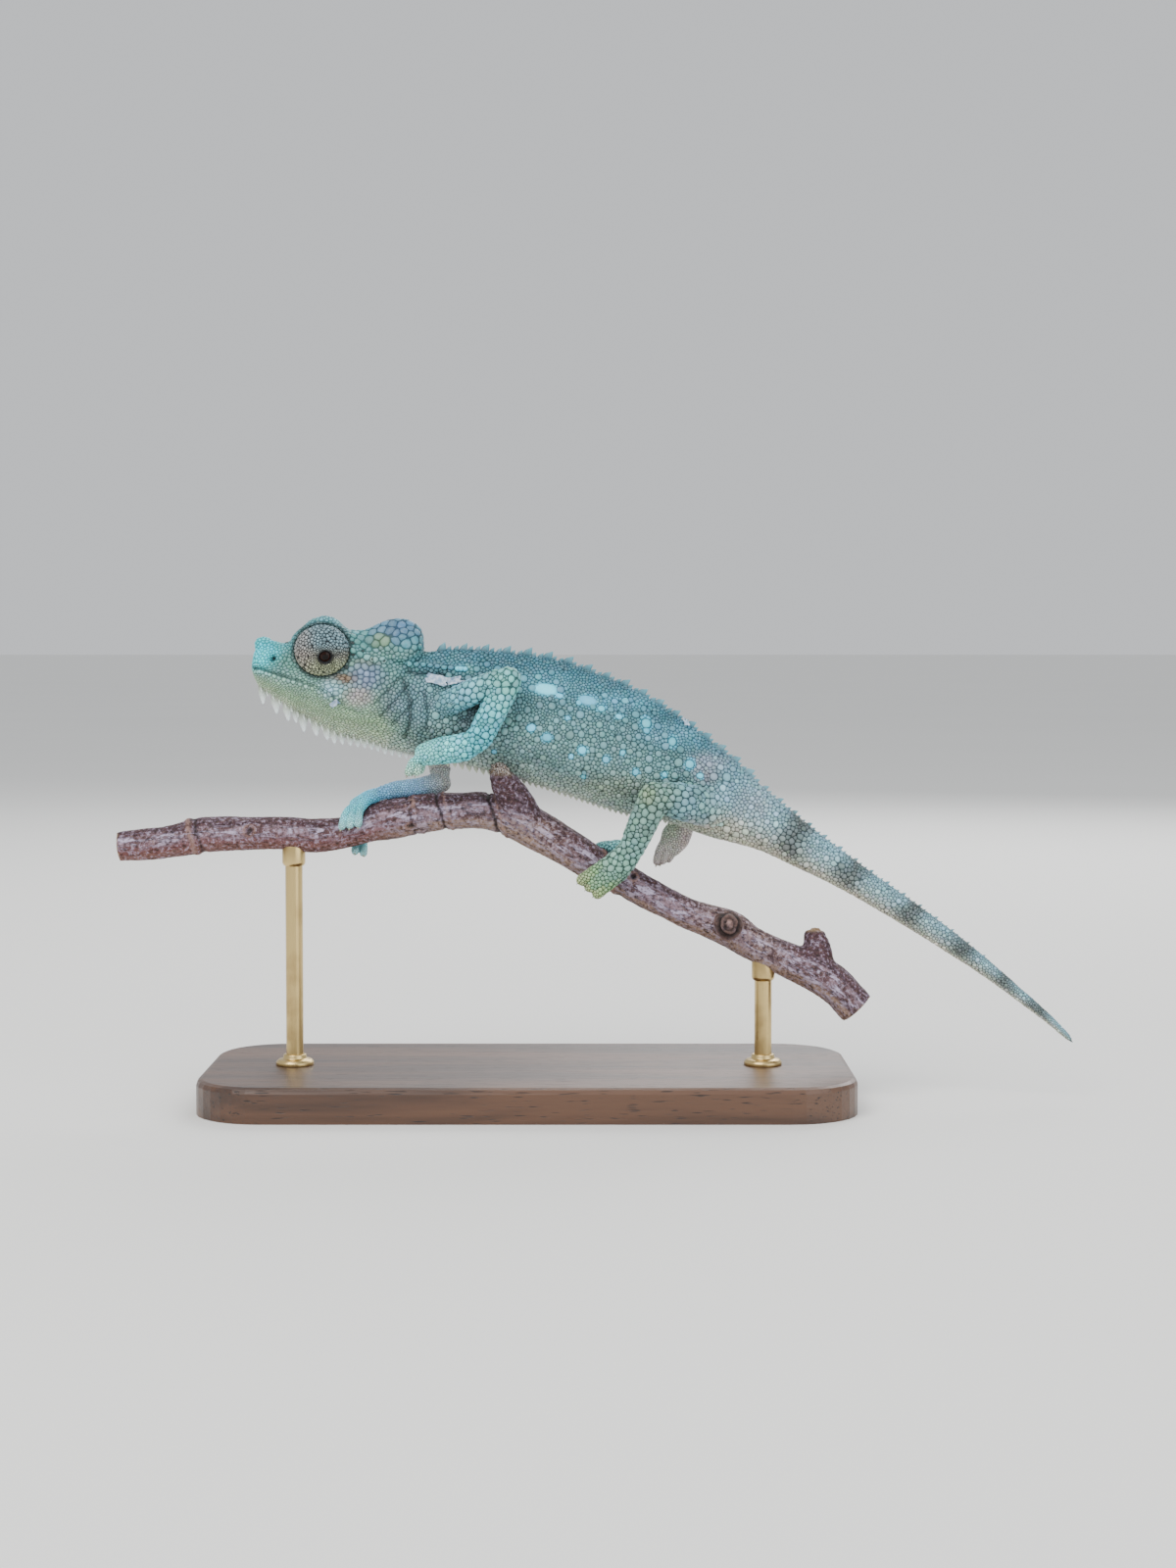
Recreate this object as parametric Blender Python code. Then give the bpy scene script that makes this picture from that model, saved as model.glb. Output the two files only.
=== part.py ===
"""A life-size high-casqued chameleon that grips a cut branch on a plain display stand.

Every length is in millimetres until finish() turns a mesh into metres. X runs from the snout at
-X to the tail, Y runs across the body with the animal's left side at -Y, and Z runs up from the
floor. The origin is on the floor under the middle of the whole length.
"""

import math

import bmesh
import bpy
import numpy as np
from mathutils import Matrix, Vector

MM = 0.001
GAP = 0.3  # clearance that neighbouring pieces keep
LEFT, RIGHT = -1, 1

# The trunk from snout to tail tip. Each station holds the back's x and z, the belly's x and z,
# the half width, and four shares that shape the section against an ellipse: at the roof, the
# upper flank, the lower flank and the keel.
SNOUT_POLE = (-60.1, 75.0)
HEAD = (
    (-59.6, 76.6, -59.4, 73.3, 1.5, 1.1, 1.1, 1.0, 0.9),
    (-59.2, 78.2, -58.7, 71.9, 2.5, 1.2, 1.1, 1.0, 0.8),
    (-57.9, 79.2, -56.9, 70.5, 3.1, 1.2, 1.1, 0.95, 0.7),
    (-55.7, 79.2, -54.7, 69.0, 3.5, 1.3, 1.1, 0.95, 0.65),
    (-53.5, 79.8, -52.3, 67.4, 3.9, 1.5, 1.1, 0.95, 0.6),
    (-50.8, 81.0, -49.4, 65.7, 4.4, 1.6, 1.0, 0.95, 0.6),
    (-47.7, 82.0, -46.3, 64.0, 4.9, 1.6, 0.95, 1.0, 0.6),
    (-44.3, 82.0, -43.3, 63.0, 5.3, 1.4, 0.95, 1.0, 0.6),
    (-40.6, 81.6, -40.2, 62.3, 5.7, 0.9, 0.95, 1.0, 0.65),
    (-36.9, 80.9, -38.2, 61.7, 5.6, 0.7, 0.95, 1.0, 0.7),
    (-33.4, 79.5, -36.8, 61.2, 5.3, 0.65, 0.92, 1.0, 0.75),
)
NECK = (
    (-30.0, 78.1, -35.5, 60.9, 5.0, 0.65, 0.9, 1.0, 0.8),
    (-27.6, 78.3, -31.7, 60.0, 4.9, 0.6, 0.88, 1.05, 0.8),
)
TORSO = (
    (-25.3, 78.5, -27.8, 59.1, 5.0, 0.6, 0.85, 1.1, 0.8),
    (-20.5, 78.4, -22.5, 58.1, 5.5, 0.6, 0.85, 1.1, 0.8),
    (-15.4, 77.9, -17.4, 56.7, 6.1, 0.6, 0.85, 1.1, 0.8),
    (-10.3, 77.3, -12.3, 55.3, 6.6, 0.6, 0.85, 1.1, 0.8),
    (-5.2, 76.2, -7.6, 53.8, 6.8, 0.6, 0.85, 1.1, 0.8),
    (-0.1, 74.3, -2.8, 52.2, 6.7, 0.6, 0.85, 1.1, 0.8),
    (5.0, 72.2, 1.6, 50.7, 6.3, 0.6, 0.85, 1.08, 0.8),
    (10.1, 69.4, 6.4, 49.4, 5.6, 0.65, 0.87, 1.05, 0.85),
    (14.9, 66.2, 10.8, 48.7, 4.9, 0.7, 0.9, 1.03, 0.9),
    (18.9, 63.1, 15.2, 47.2, 4.3, 0.75, 0.92, 1.0, 0.95),
    (23.4, 59.5, 19.3, 45.7, 3.8, 0.8, 0.95, 1.0, 1.0),
)
TAIL_BASE = (
    (28.0, 55.3, 23.6, 44.6, 3.3, 0.85, 0.97, 1.0, 1.0),
    (32.3, 51.6, 28.6, 43.1, 2.9, 0.9, 1.0, 1.0, 1.0),
    (38.1, 46.9, 34.3, 40.4, 2.4, 0.9, 1.0, 1.0, 1.0),
)
TAIL_MIDDLE = (
    (43.3, 43.0, 40.0, 37.7, 2.1, 0.95, 1.0, 1.0, 1.0),
    (49.2, 38.7, 46.2, 34.3, 1.85, 0.95, 1.0, 1.0, 1.0),
    (56.2, 33.8, 53.6, 29.9, 1.65, 0.95, 1.0, 1.0, 1.0),
)
TAIL_TIP = (
    (62.0, 29.4, 59.7, 26.1, 1.45, 1.0, 1.0, 1.0, 1.0),
    (67.9, 24.6, 66.0, 22.1, 1.2, 1.0, 1.0, 1.0, 1.0),
    (73.9, 19.3, 72.5, 17.5, 0.95, 1.0, 1.0, 1.0, 1.0),
    (79.0, 14.7, 77.9, 13.5, 0.65, 1.0, 1.0, 1.0, 1.0),
    (82.4, 11.1, 81.7, 10.4, 0.4, 1.0, 1.0, 1.0, 1.0),
)
TAIL_POLE = (83.6, 9.0)
SHARE_DEPTHS = (0.0, 0.07, 0.25, 0.5, 0.75, 0.93, 1.0)
TRUNK_SIDES = 20
TRUNK_STEPS = 2  # rings for each station

# The raised helmet behind the eyes, in stations like the trunk's.
CASQUE = (
    (-41.6, 81.6, -41.6, 76.5, 2.4, 0.8, 1.0, 1.0, 1.0),
    (-39.6, 82.1, -39.6, 75.5, 3.2, 0.75, 1.0, 1.0, 1.0),
    (-38.0, 82.9, -38.0, 75.0, 3.7, 0.65, 0.95, 1.05, 1.0),
    (-36.2, 83.6, -36.2, 74.5, 4.0, 0.6, 0.9, 1.1, 1.0),
    (-34.1, 83.8, -34.1, 74.5, 4.1, 0.55, 0.88, 1.1, 1.0),
    (-32.3, 83.5, -32.5, 74.5, 3.9, 0.6, 0.9, 1.1, 1.0),
    (-31.0, 82.6, -31.6, 75.0, 3.3, 0.75, 0.95, 1.05, 1.0),
    (-30.3, 81.4, -31.0, 76.0, 2.5, 0.9, 1.0, 1.0, 1.0),
)
CASQUE_FRONT = (-42.6, 79.8)
CASQUE_REAR = (-30.1, 79.4)

SNOUT_KNOB = (-57.75, 79.1)
SNOUT_KNOB_SIZE = (1.5, 1.5, 1.35)

EYE_CENTRE = (-47.3, 4.1, 78.2)
EYE_SIZE = (4.7, 3.5, 4.4)  # half lengths along x, y and z
GAZE = (0.2, 0.93, -0.3)
PUPIL_SIZE = (0.95, 0.6, 0.95)
ORBIT_CENTRE = (-47.4, 2.1, 78.3)  # the raised bone around an eye, which makes the crest over it
ORBIT_SIZE = (5.9, 3.1, 5.7)

MOUTH_DEPTHS = (0.55, 0.53, 0.52, 0.54, 0.57, 0.62, 0.685)  # share of the head's depth, station by station
MOUTH_WIDTH = 0.22
NOSTRIL = (2.85, 0.235)  # station and share of the depth
NOSTRIL_SIZE = (0.45, 0.45, 0.38)

# Limbs: rows of x, y, z, radius in the limb's plane and radius across it.
ARM_LEFT = {
    "upper": ((-27.6, -3.0, 68.0, 2.5, 2.2), (-21.8, -7.2, 70.9, 2.35, 2.2), (-16.7, -8.4, 72.9, 2.4, 2.2)),
    "lower": ((-15.2, -8.8, 73.3, 2.55, 2.3), (-17.6, -8.8, 68.3, 2.5, 2.3), (-20.3, -8.4, 63.0, 2.4, 2.1)),
    "end": (
        (-20.4, -8.3, 62.9, 2.2, 2.0),
        (-23.2, -8.0, 61.6, 2.55, 2.0),
        (-26.6, -7.6, 61.1, 2.5, 1.9),
        (-29.6, -7.2, 60.4, 2.1, 1.7),
    ),
}
ARM_RIGHT = {
    "upper": ((-25.2, 3.2, 65.2, 2.3, 2.1), (-27.9, 6.0, 60.6, 2.1, 2.0), (-27.6, 4.8, 56.9, 2.1, 2.0)),
    "lower": (
        (-27.3, 4.2, 55.1, 2.1, 2.0),
        (-30.9, 2.6, 54.2, 2.0, 1.9),
        (-35.0, 1.2, 53.9, 1.75, 1.8),
        (-37.6, 0.4, 53.4, 1.5, 1.7),
    ),
    "end": ((-37.4, 0.4, 53.4, 1.4, 1.7), (-39.8, 0.1, 52.6, 1.45, 2.0), (-41.9, 0.0, 51.6, 1.2, 1.9)),
}
LEG_LEFT = {
    "upper": ((21.0, -1.0, 50.4, 3.4, 2.6), (15.4, -5.4, 52.0, 3.4, 2.8), (11.3, -7.4, 53.1, 2.9, 2.6)),
    "lower": ((9.7, -8.1, 53.4, 2.8, 2.6), (7.6, -6.9, 48.4, 2.65, 2.4), (5.6, -5.6, 43.8, 2.4, 2.1)),
    "end": (
        (5.5, -5.5, 43.6, 2.4, 2.0),
        (3.3, -5.2, 41.2, 2.75, 1.7),
        (1.3, -4.9, 39.5, 2.5, 1.5),
        (-0.3, -4.6, 38.3, 2.0, 1.2),
    ),
}
LEG_RIGHT = {
    "upper": ((21.2, 1.0, 50.4, 3.4, 2.6), (17.2, 6.0, 52.2, 3.2, 2.8), (15.0, 8.0, 53.1, 2.8, 2.6)),
    "lower": ((14.2, 8.7, 53.2, 2.7, 2.6), (14.9, 8.6, 49.8, 2.4, 2.3), (14.9, 8.3, 47.0, 2.3, 2.1)),
    "end": ((14.7, 8.3, 46.9, 2.6, 1.9), (13.7, 8.1, 45.0, 2.8, 1.7), (12.9, 8.0, 43.4, 2.2, 1.5)),
}
# Bundles of toes: how many, the points of the middle line, and the step from toe to toe at the
# root and at the tips. A front foot has two outer and three inner toes, a hind foot the reverse.
TOES = {
    "arm_left": (
        (2, ((-29.0, -8.1, 60.6), (-30.9, -8.0, 59.4), (-31.6, -7.8, 57.5)), (0.3, 0.0, 0.8), (1.15, 0.1, 0.1)),
        (3, ((-28.6, -6.2, 60.3), (-30.6, -5.9, 59.2), (-31.4, -5.7, 57.6)), (0.4, 0.1, 0.5), (0.9, 0.1, 0.1)),
    ),
    "arm_right": (
        (3, ((-40.6, -0.7, 52.0), (-42.2, -2.7, 50.4), (-42.7, -3.6, 48.0)), (0.9, 0.0, 0.3), (1.45, 0.0, 0.2)),
        (
            2,
            ((-40.6, 1.2, 52.0), (-41.6, 3.3, 49.8), (-41.7, 3.9, 46.8), (-41.6, 2.6, 44.1), (-41.5, 0.8, 43.0)),
            (1.3, 0.0, 0.3),
            (1.5, 0.0, -0.3),
        ),
    ),
    "leg_left": (
        (3, ((3.4, -5.3, 41.2), (0.9, -5.0, 39.3), (-1.4, -4.2, 37.5)), (1.15, 0.0, -1.35), (1.35, 0.0, -1.15)),
        (
            2,
            ((4.9, -3.6, 43.5), (2.9, -0.8, 44.4), (0.9, 2.0, 43.7), (-0.2, 3.7, 41.8)),
            (0.9, 0.0, 0.7),
            (1.3, 0.0, -0.6),
        ),
    ),
    "leg_right": (
        (3, ((14.6, 9.2, 45.6), (13.0, 9.0, 43.2), (11.6, 8.7, 41.0)), (1.2, 0.1, 0.4), (0.85, 0.1, 0.25)),
        (2, ((12.9, 7.4, 45.6), (11.5, 7.3, 43.0), (10.9, 7.3, 41.0)), (1.1, 0.1, 0.2), (0.85, 0.1, 0.1)),
    ),
}
LIMB_SIDES = 12
TOE_SIDES = 6
TOE_RADIUS = 0.95
TOE_TIP = 0.68
CLAW_LENGTH = 0.8
CLAW_RADIUS = 0.3

# The cut branch: rows of x, y, z and radius, then its snag, its knot and its short spur.
BRANCH = (
    (-83.2, 0.0, 44.1, 2.7),
    (-74.0, 0.1, 45.0, 3.0),
    (-68.5, 0.2, 46.1, 3.2),
    (-61.0, 0.2, 46.4, 3.05),
    (-54.5, 0.1, 46.4, 3.0),
    (-48.5, 0.0, 46.0, 3.1),
    (-42.6, 0.0, 46.9, 2.8),
    (-38.4, 0.0, 48.3, 3.4),
    (-34.0, 0.0, 49.2, 3.6),
    (-28.2, 0.0, 50.1, 3.5),
    (-22.0, 0.0, 50.5, 3.2),
    (-18.0, 0.0, 50.1, 3.3),
    (-13.5, 0.0, 48.5, 3.7),
    (-8.6, 0.0, 45.9, 3.5),
    (-1.8, 0.0, 41.8, 3.2),
    (6.7, 0.0, 37.1, 2.9),
    (15.2, 0.0, 32.6, 2.75),
    (22.5, 0.0, 29.9, 3.3),
    (27.0, 0.0, 27.2, 3.0),
    (32.2, 0.0, 24.7, 3.2),
    (37.6, 0.0, 22.4, 3.5),
    (41.6, 0.0, 19.6, 3.4),
    (45.2, 0.0, 15.9, 3.3),
)
SNAG = ((-12.4, -0.4, 48.2, 3.6), (-14.2, -2.3, 52.2, 3.1), (-16.0, -4.2, 55.4, 2.6), (-16.9, -5.1, 57.7, 2.1))
KNOT = ((22.4, -1.5, 30.6, 2.6), (22.4, -3.2, 30.8, 2.6), (22.4, -4.1, 30.9, 2.2))
SPUR = ((37.8, 0.0, 23.5, 2.6), (38.3, 0.6, 27.0, 2.1), (38.6, 1.0, 29.6, 1.7))
BRANCH_SIDES = 14

# The stand: a flat plate with rounded corners and two upright rods.
BASE_SIZE = (112.0, 50.0, 6.0)
BASE_MIDDLE = -12.0
BASE_CORNER = 12.0
BASE_BEVEL = 1.0
ROD_RADIUS = 1.5
ROD_TOP = 50.0  # before the branch's hollow is cut from it
ROD_X = {"stand_rod_front": -52.8, "stand_rod_rear": 28.8}

# Crest scales: height, half length along the crest and half width, at the skin.
GULAR_SCALE = (2.5, 0.66, 0.5)
DORSAL_SCALE = (1.35, 1.1, 0.5)
VENTRAL_SCALE = (0.95, 0.42, 0.36)
MINOR_SHARE = (0.5, 0.5, 0.75)  # a small dorsal scale against a tall one
DORSAL_MARGINS = (1.9, 2.0)  # room that a crest leaves before and behind the cut ends of its node
VENTRAL_MARGINS = (1.1, 1.1)
SCALE_SUNK = 0.7
SCALE_SIDES = 6

HEAD_PAINT = ("head skin", (0.36, 0.5, 0.45), 0.55)
BODY_PAINT = ("body skin", (0.25, 0.38, 0.37), 0.6)
TAIL_PAINT = ("tail skin", (0.42, 0.48, 0.5), 0.6)
ARM_PAINT = ("arm skin", (0.33, 0.55, 0.55), 0.55)
LEG_PAINT = ("leg skin", (0.38, 0.5, 0.36), 0.55)
EYE_PAINT = ("eye turret", (0.3, 0.29, 0.25), 0.5)
BARK_PAINT = ("bark", (0.36, 0.27, 0.26), 0.75)
BASE_PAINT = ("base wood", (0.05, 0.045, 0.042), 0.35)
ROD_PAINT = ("rod brass", (0.62, 0.5, 0.28), 0.3)


def spline(rows, steps):
    """Rows on a Catmull-Rom curve through the given rows, with that many for each stretch."""
    rows = np.array(rows, float)
    ends = np.vstack([2 * rows[0] - rows[1], rows, 2 * rows[-1] - rows[-2]])
    made = []
    for i in range(1, len(ends) - 2):
        a, b, c, d = ends[i - 1 : i + 3]
        for t in np.arange(steps) / steps:
            bend = (2 * a - 5 * b + 4 * c - d) * t**2 + (3 * b - a - 3 * c + d) * t**3
            made.append(0.5 * (2 * b + (c - a) * t + bend))
    return np.array(made + [rows[-1]])


def new_object(name, bm):
    """A linked object that takes over the bmesh."""
    mesh = bpy.data.meshes.new(name)
    bm.to_mesh(mesh)
    bm.free()
    made = bpy.data.objects.new(name, mesh)
    bpy.context.scene.collection.objects.link(made)
    return made


def loft(name, rings, poles=(None, None)):
    """A closed mesh through rings of points, each end shut by a flat face or a fan to its pole."""
    bm = bmesh.new()
    loops = []
    for ring in rings:
        verts = [bm.verts.new(p) for p in ring]
        loops.append([bm.edges.new((verts[k - 1], verts[k])) for k in range(len(verts))])
    for low, high in zip(loops, loops[1:]):
        bmesh.ops.bridge_loops(bm, edges=low + high)
    for loop, pole in ((loops[0], poles[0]), (loops[-1], poles[1])):
        if pole is None:
            bmesh.ops.contextual_create(bm, geom=loop)
            continue
        tip = bm.verts.new(pole)
        for edge in loop:
            bm.faces.new((*edge.verts, tip))
    bmesh.ops.recalc_face_normals(bm, faces=bm.faces)
    return new_object(name, bm)


def keep_one(target, rank):
    """Keeps the closed surface of target that ranks highest, and drops the rest."""
    bm = bmesh.new()
    bm.from_mesh(target.data)
    left, shells = set(bm.faces), []
    while left:
        shell, rim = set(), [left.pop()]
        while rim:
            face = rim.pop()
            shell.add(face)
            near = {f for e in face.edges if len(e.link_faces) == 2 for f in e.link_faces} & left
            left -= near
            rim.extend(near)
        shells.append(shell)
    best = max(shells, key=rank)
    bmesh.ops.delete(bm, geom=[f for s in shells if s is not best for f in s], context="FACES")
    bm.to_mesh(target.data)
    bm.free()


def reach(shell):
    """The diagonal of a set of faces."""
    points = np.array([v.co for f in shell for v in f.verts])
    return np.linalg.norm(points.max(0) - points.min(0))


def lowness(shell):
    """How low a set of faces reaches."""
    return -min(v.co.z for f in shell for v in f.verts)


def combine(target, others, operation, rank=reach):
    """Joins target with the other closed meshes, or cuts them from it, and removes them."""
    pool = bpy.data.collections.new("pool")
    bpy.context.scene.collection.children.link(pool)
    for other in others:
        pool.objects.link(other)
    step = target.modifiers.new("combine", "BOOLEAN")
    step.operation = operation
    step.operand_type = "COLLECTION"
    step.collection = pool
    view = bpy.context.evaluated_depsgraph_get()
    result = bpy.data.meshes.new_from_object(target.evaluated_get(view))
    target.modifiers.clear()
    target.data = result
    for other in others:
        bpy.data.objects.remove(other)
    bpy.data.collections.remove(pool)
    keep_one(target, rank)


def finish(target, name, paint, metallic=0.0):
    """Turns the mesh into metres and gives the object its name and material."""
    target.data.transform(Matrix.Scale(MM, 4))
    target.name = name
    target.data.name = name
    label, colour, roughness = paint
    material = bpy.data.materials.get(label) or bpy.data.materials.new(label)
    material.use_nodes = True
    shader = material.node_tree.nodes["Principled BSDF"]
    shader.inputs["Base Color"].default_value = (*colour, 1.0)
    shader.inputs["Roughness"].default_value = roughness
    shader.inputs["Metallic"].default_value = metallic
    target.data.materials.clear()
    target.data.materials.append(material)
    target.data.shade_smooth()


# The trunk


def trunk_frame(row):
    """The middle of a station, its unit vectors up and towards the tail, and its half height."""
    back = np.array([row[0], 0.0, row[1]])
    belly = np.array([row[2], 0.0, row[3]])
    height = np.linalg.norm(back - belly)
    up = (back - belly) / height
    return (back + belly) / 2, up, np.cross((0.0, 1.0, 0.0), up), height / 2


def trunk_point(row, depth, side, grow=0.0):
    """A point of the station's outline, at a depth from 0 on the back to 1 on the belly."""
    middle, up, _, half = trunk_frame(row)
    shares = (row[5], row[5], row[6], 1.0, row[7], row[8], row[8])
    share = np.interp(depth, SHARE_DEPTHS, shares)
    width = (row[4] * share + grow) * 2.0 * math.sqrt(max(depth * (1.0 - depth), 0.0))
    return middle + up * (half + grow) * (1.0 - 2.0 * depth) + np.array((0.0, side * width, 0.0))


def trunk_ring(row, shift=0.0, grow=0.0):
    """The station's ring of points, moved along the trunk by shift."""
    ring = []
    for k in range(TRUNK_SIDES):
        angle = 2.0 * math.pi * k / TRUNK_SIDES
        side = LEFT if math.sin(angle) < 0 else RIGHT
        ring.append(trunk_point(row, (1.0 - math.cos(angle)) / 2.0, side, grow) + trunk_frame(row)[2] * shift)
    return ring


STATIONS = HEAD + NECK + TORSO + TAIL_BASE + TAIL_MIDDLE + TAIL_TIP
TRUNK_ROWS = spline(STATIONS, TRUNK_STEPS)
NECK_START = len(HEAD)
TORSO_START = NECK_START + len(NECK)
TAIL_START = TORSO_START + len(TORSO)
TAIL_MIDDLE_START = TAIL_START + len(TAIL_BASE)
TAIL_TIP_START = TAIL_MIDDLE_START + len(TAIL_MIDDLE)
TAIL_END = len(STATIONS) - 1


def station(place):
    """The trunk's row at a place counted in stations from the snout."""
    at = place * TRUNK_STEPS
    low = min(int(at), len(TRUNK_ROWS) - 2)
    return TRUNK_ROWS[low] + (TRUNK_ROWS[low + 1] - TRUNK_ROWS[low]) * (at - low)


def trunk_length(name, first, last):
    """The trunk's solid from one station to another, half a gap short at each cut end."""
    rows = TRUNK_ROWS[first * TRUNK_STEPS : last * TRUNK_STEPS + 1]
    rings = [trunk_ring(row) for row in rows]
    poles = [None, None]
    if first == 0:
        poles[0] = (SNOUT_POLE[0], 0.0, SNOUT_POLE[1])
    else:
        rings[0] = trunk_ring(rows[0], shift=GAP / 2)
    if last == TAIL_END:
        poles[1] = (TAIL_POLE[0], 0.0, TAIL_POLE[1])
    else:
        rings[-1] = trunk_ring(rows[-1], shift=-GAP / 2)
    return loft(name, rings, poles)


def grown_trunk():
    """The whole trunk, larger by the gap, to cut what lies against it."""
    rings = [trunk_ring(row, grow=GAP) for row in TRUNK_ROWS]
    snout = (SNOUT_POLE[0] - GAP, 0.0, SNOUT_POLE[1])
    return loft("grown trunk", rings, (snout, (TAIL_POLE[0] + GAP, 0.0, TAIL_POLE[1])))


# Crest scales


def cone(root, tip, along, half_length, half_width):
    """A crest scale: a cone to its tip from an oval foot sunk below the root, where it has its half sizes."""
    root, tip, along = np.array(root), np.array(tip), np.array(along)
    height = np.linalg.norm(tip - root)
    axis = (tip - root) / height
    across = np.cross(axis, along)
    across /= np.linalg.norm(across)
    foot = root - axis * SCALE_SUNK
    widen = (height + SCALE_SUNK) / height
    ring = []
    for k in range(SCALE_SIDES):
        angle = 2.0 * math.pi * (k + 0.5) / SCALE_SIDES
        reach_along = along * half_length * widen * math.cos(angle)
        ring.append(foot + reach_along + across * half_width * widen * math.sin(angle))
    return loft("scale", [ring], (None, tip))


def crest(places, edge, sizes, lean):
    """Cones along the back, for edge 0, or the belly, for edge 1, at places counted in stations."""
    made = []
    for place, (height, half_length, half_width) in zip(places, sizes):
        row = station(place)
        here = trunk_point(row, edge, LEFT)
        along = trunk_point(station(place + 0.05), edge, LEFT) - here
        along /= np.linalg.norm(along)
        out = trunk_frame(row)[1] * (1.0 - 2.0 * edge)
        out -= along * np.dot(out, along)
        out /= np.linalg.norm(out)
        made.append(cone(here, here + (out + along * lean) * height, along, half_length, half_width))
    return made


def graded(shape, count, first, last):
    """Scale sizes that change evenly from a first to a last share of a shape."""
    return [tuple(v * share for v in shape) for share in np.linspace(first, last, count)]


def walk(first, last, edge, steps, margins):
    """Places along the trunk's edge whose spacing changes evenly, clear of both ends by the margins."""
    places = np.linspace(first, last, 400)
    points = np.array([trunk_point(station(p), edge, LEFT) for p in places])
    lengths = np.concatenate([[0.0], np.cumsum(np.linalg.norm(np.diff(points, axis=0), axis=1))])
    marks = [margins[0]]
    while marks[-1] < lengths[-1] - margins[1]:
        marks.append(marks[-1] + steps[0] + (steps[1] - steps[0]) * marks[-1] / lengths[-1])
    return np.interp(marks[:-1], lengths, places)


def dorsal(first, last, steps, shares):
    """Crest scales of the back, every third one tall."""
    places = walk(first, last, 0, steps, DORSAL_MARGINS)
    sizes = graded(DORSAL_SCALE, len(places), *shares)
    small = [tuple(v * m for v, m in zip(size, MINOR_SHARE)) for size in sizes]
    return crest(places, 0, [size if k % 3 == 0 else small[k] for k, size in enumerate(sizes)], 0.6)


def ventral(first, last, shape, steps, shares, lean=0.15):
    """Crest scales along the throat or the belly."""
    places = walk(first, last, 1, steps, VENTRAL_MARGINS)
    return crest(places, 1, graded(shape, len(places), *shares), lean)


# Limbs


def sweep(name, rows, sides, across=(0.0, 1.0, 0.0), steps=3, grow=0.0, flat=False):
    """A tube along rows of x, y, z and one or two radii, with rounded or flat ends."""
    rows = [tuple(r) if len(r) == 5 else (*r, r[3]) for r in rows]
    dense = spline(rows, steps)
    places, radii = dense[:, :3], dense[:, 3:] + grow
    ways = np.gradient(places, axis=0)
    ways /= np.linalg.norm(ways, axis=1)[:, None]
    if not flat:
        places, radii, ways = rounded(places, radii, ways)
    rings = []
    angles = 2.0 * math.pi * np.arange(sides) / sides
    for place, radius, way in zip(places, radii, ways):
        side = np.array(across) - way * np.dot(across, way)
        side /= np.linalg.norm(side)
        other = np.cross(way, side)
        rings.append([place + other * radius[0] * math.cos(a) + side * radius[1] * math.sin(a) for a in angles])
    if flat:
        return loft(name, rings)
    first = places[0] - ways[0] * radii[0].mean() * 0.5
    last = places[-1] + ways[-1] * radii[-1].mean() * 0.5
    return loft(name, rings, (first, last))


def rounded(places, radii, ways):
    """Adds one smaller ring past each end of a tube, so that its ends are domes."""
    ahead, share = 0.62, 0.76
    first = places[0] - ways[0] * radii[0].mean() * ahead
    last = places[-1] + ways[-1] * radii[-1].mean() * ahead
    places = np.vstack([first, places, last])
    radii = np.vstack([radii[0] * share, radii, radii[-1] * share])
    return places, radii, np.vstack([ways[0], ways, ways[-1]])


def toe(points, across):
    """One toe: a tapering tube with a claw set in its tip."""
    radii = np.linspace(TOE_RADIUS, TOE_TIP, len(points))
    rows = [(*p, r) for p, r in zip(points, radii)]
    way = np.array(points[-1]) - np.array(points[-2])
    way /= np.linalg.norm(way)
    side = np.cross(way, (1.0, 0.3, 0.2))
    side /= np.linalg.norm(side)
    root = np.array(points[-1]) + way * TOE_TIP * 0.6
    tip = root + way * (TOE_TIP * 0.4 + CLAW_LENGTH * 0.6) - np.array((0.0, 0.0, CLAW_LENGTH * 0.35))
    return [sweep("toe", rows, TOE_SIDES, across, steps=2), cone(root, tip, side, CLAW_RADIUS, CLAW_RADIUS)]


def toes(limb_name):
    """All the toes of one limb."""
    made = []
    for count, line, root_step, tip_step in TOES[limb_name]:
        line = np.array(line)
        shares = np.linspace(0.0, 1.0, len(line))[:, None]
        steps = np.array(root_step) * (1.0 - shares) + np.array(tip_step) * shares
        flow = line[-1] - line[0]
        across = (1.0, 0.0, 0.0) if abs(flow[1]) > abs(flow[0]) else (0.0, 1.0, 0.0)
        for k in range(count):
            made += toe(line + steps * (k - (count - 1) / 2.0), across)
    return made


def limb(limb_name, rows, names, paint):
    """The three solids of a limb, cut to meet the trunk, each other and the branch."""
    pieces = {word: sweep(word, rows[word], LIMB_SIDES, steps=2) for word in ("upper", "lower", "end")}
    combine(pieces["end"], toes(limb_name), "UNION")
    for word in ("upper", "end"):
        combine(pieces[word], [sweep("cutter", rows["lower"], LIMB_SIDES, steps=2, grow=GAP)], "DIFFERENCE")
    for piece in pieces.values():
        combine(piece, [grown_trunk()], "DIFFERENCE")
        combine(piece, [branch(GAP)], "DIFFERENCE")
    for piece, name in zip(pieces.values(), names):
        finish(piece, name, paint)


# The head


def ball(name, centre, size, grow=0.0, segments=18):
    """An ellipsoid of the given half lengths, its poles at its two sides."""
    bm = bmesh.new()
    bmesh.ops.create_uvsphere(bm, u_segments=segments, v_segments=segments // 2 + 1, radius=1.0)
    bmesh.ops.rotate(bm, verts=bm.verts, matrix=Matrix.Rotation(math.pi / 2, 3, "X"))
    bmesh.ops.scale(bm, verts=bm.verts, vec=[s + grow for s in size])
    bmesh.ops.translate(bm, verts=bm.verts, vec=centre)
    return new_object(name, bm)


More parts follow.
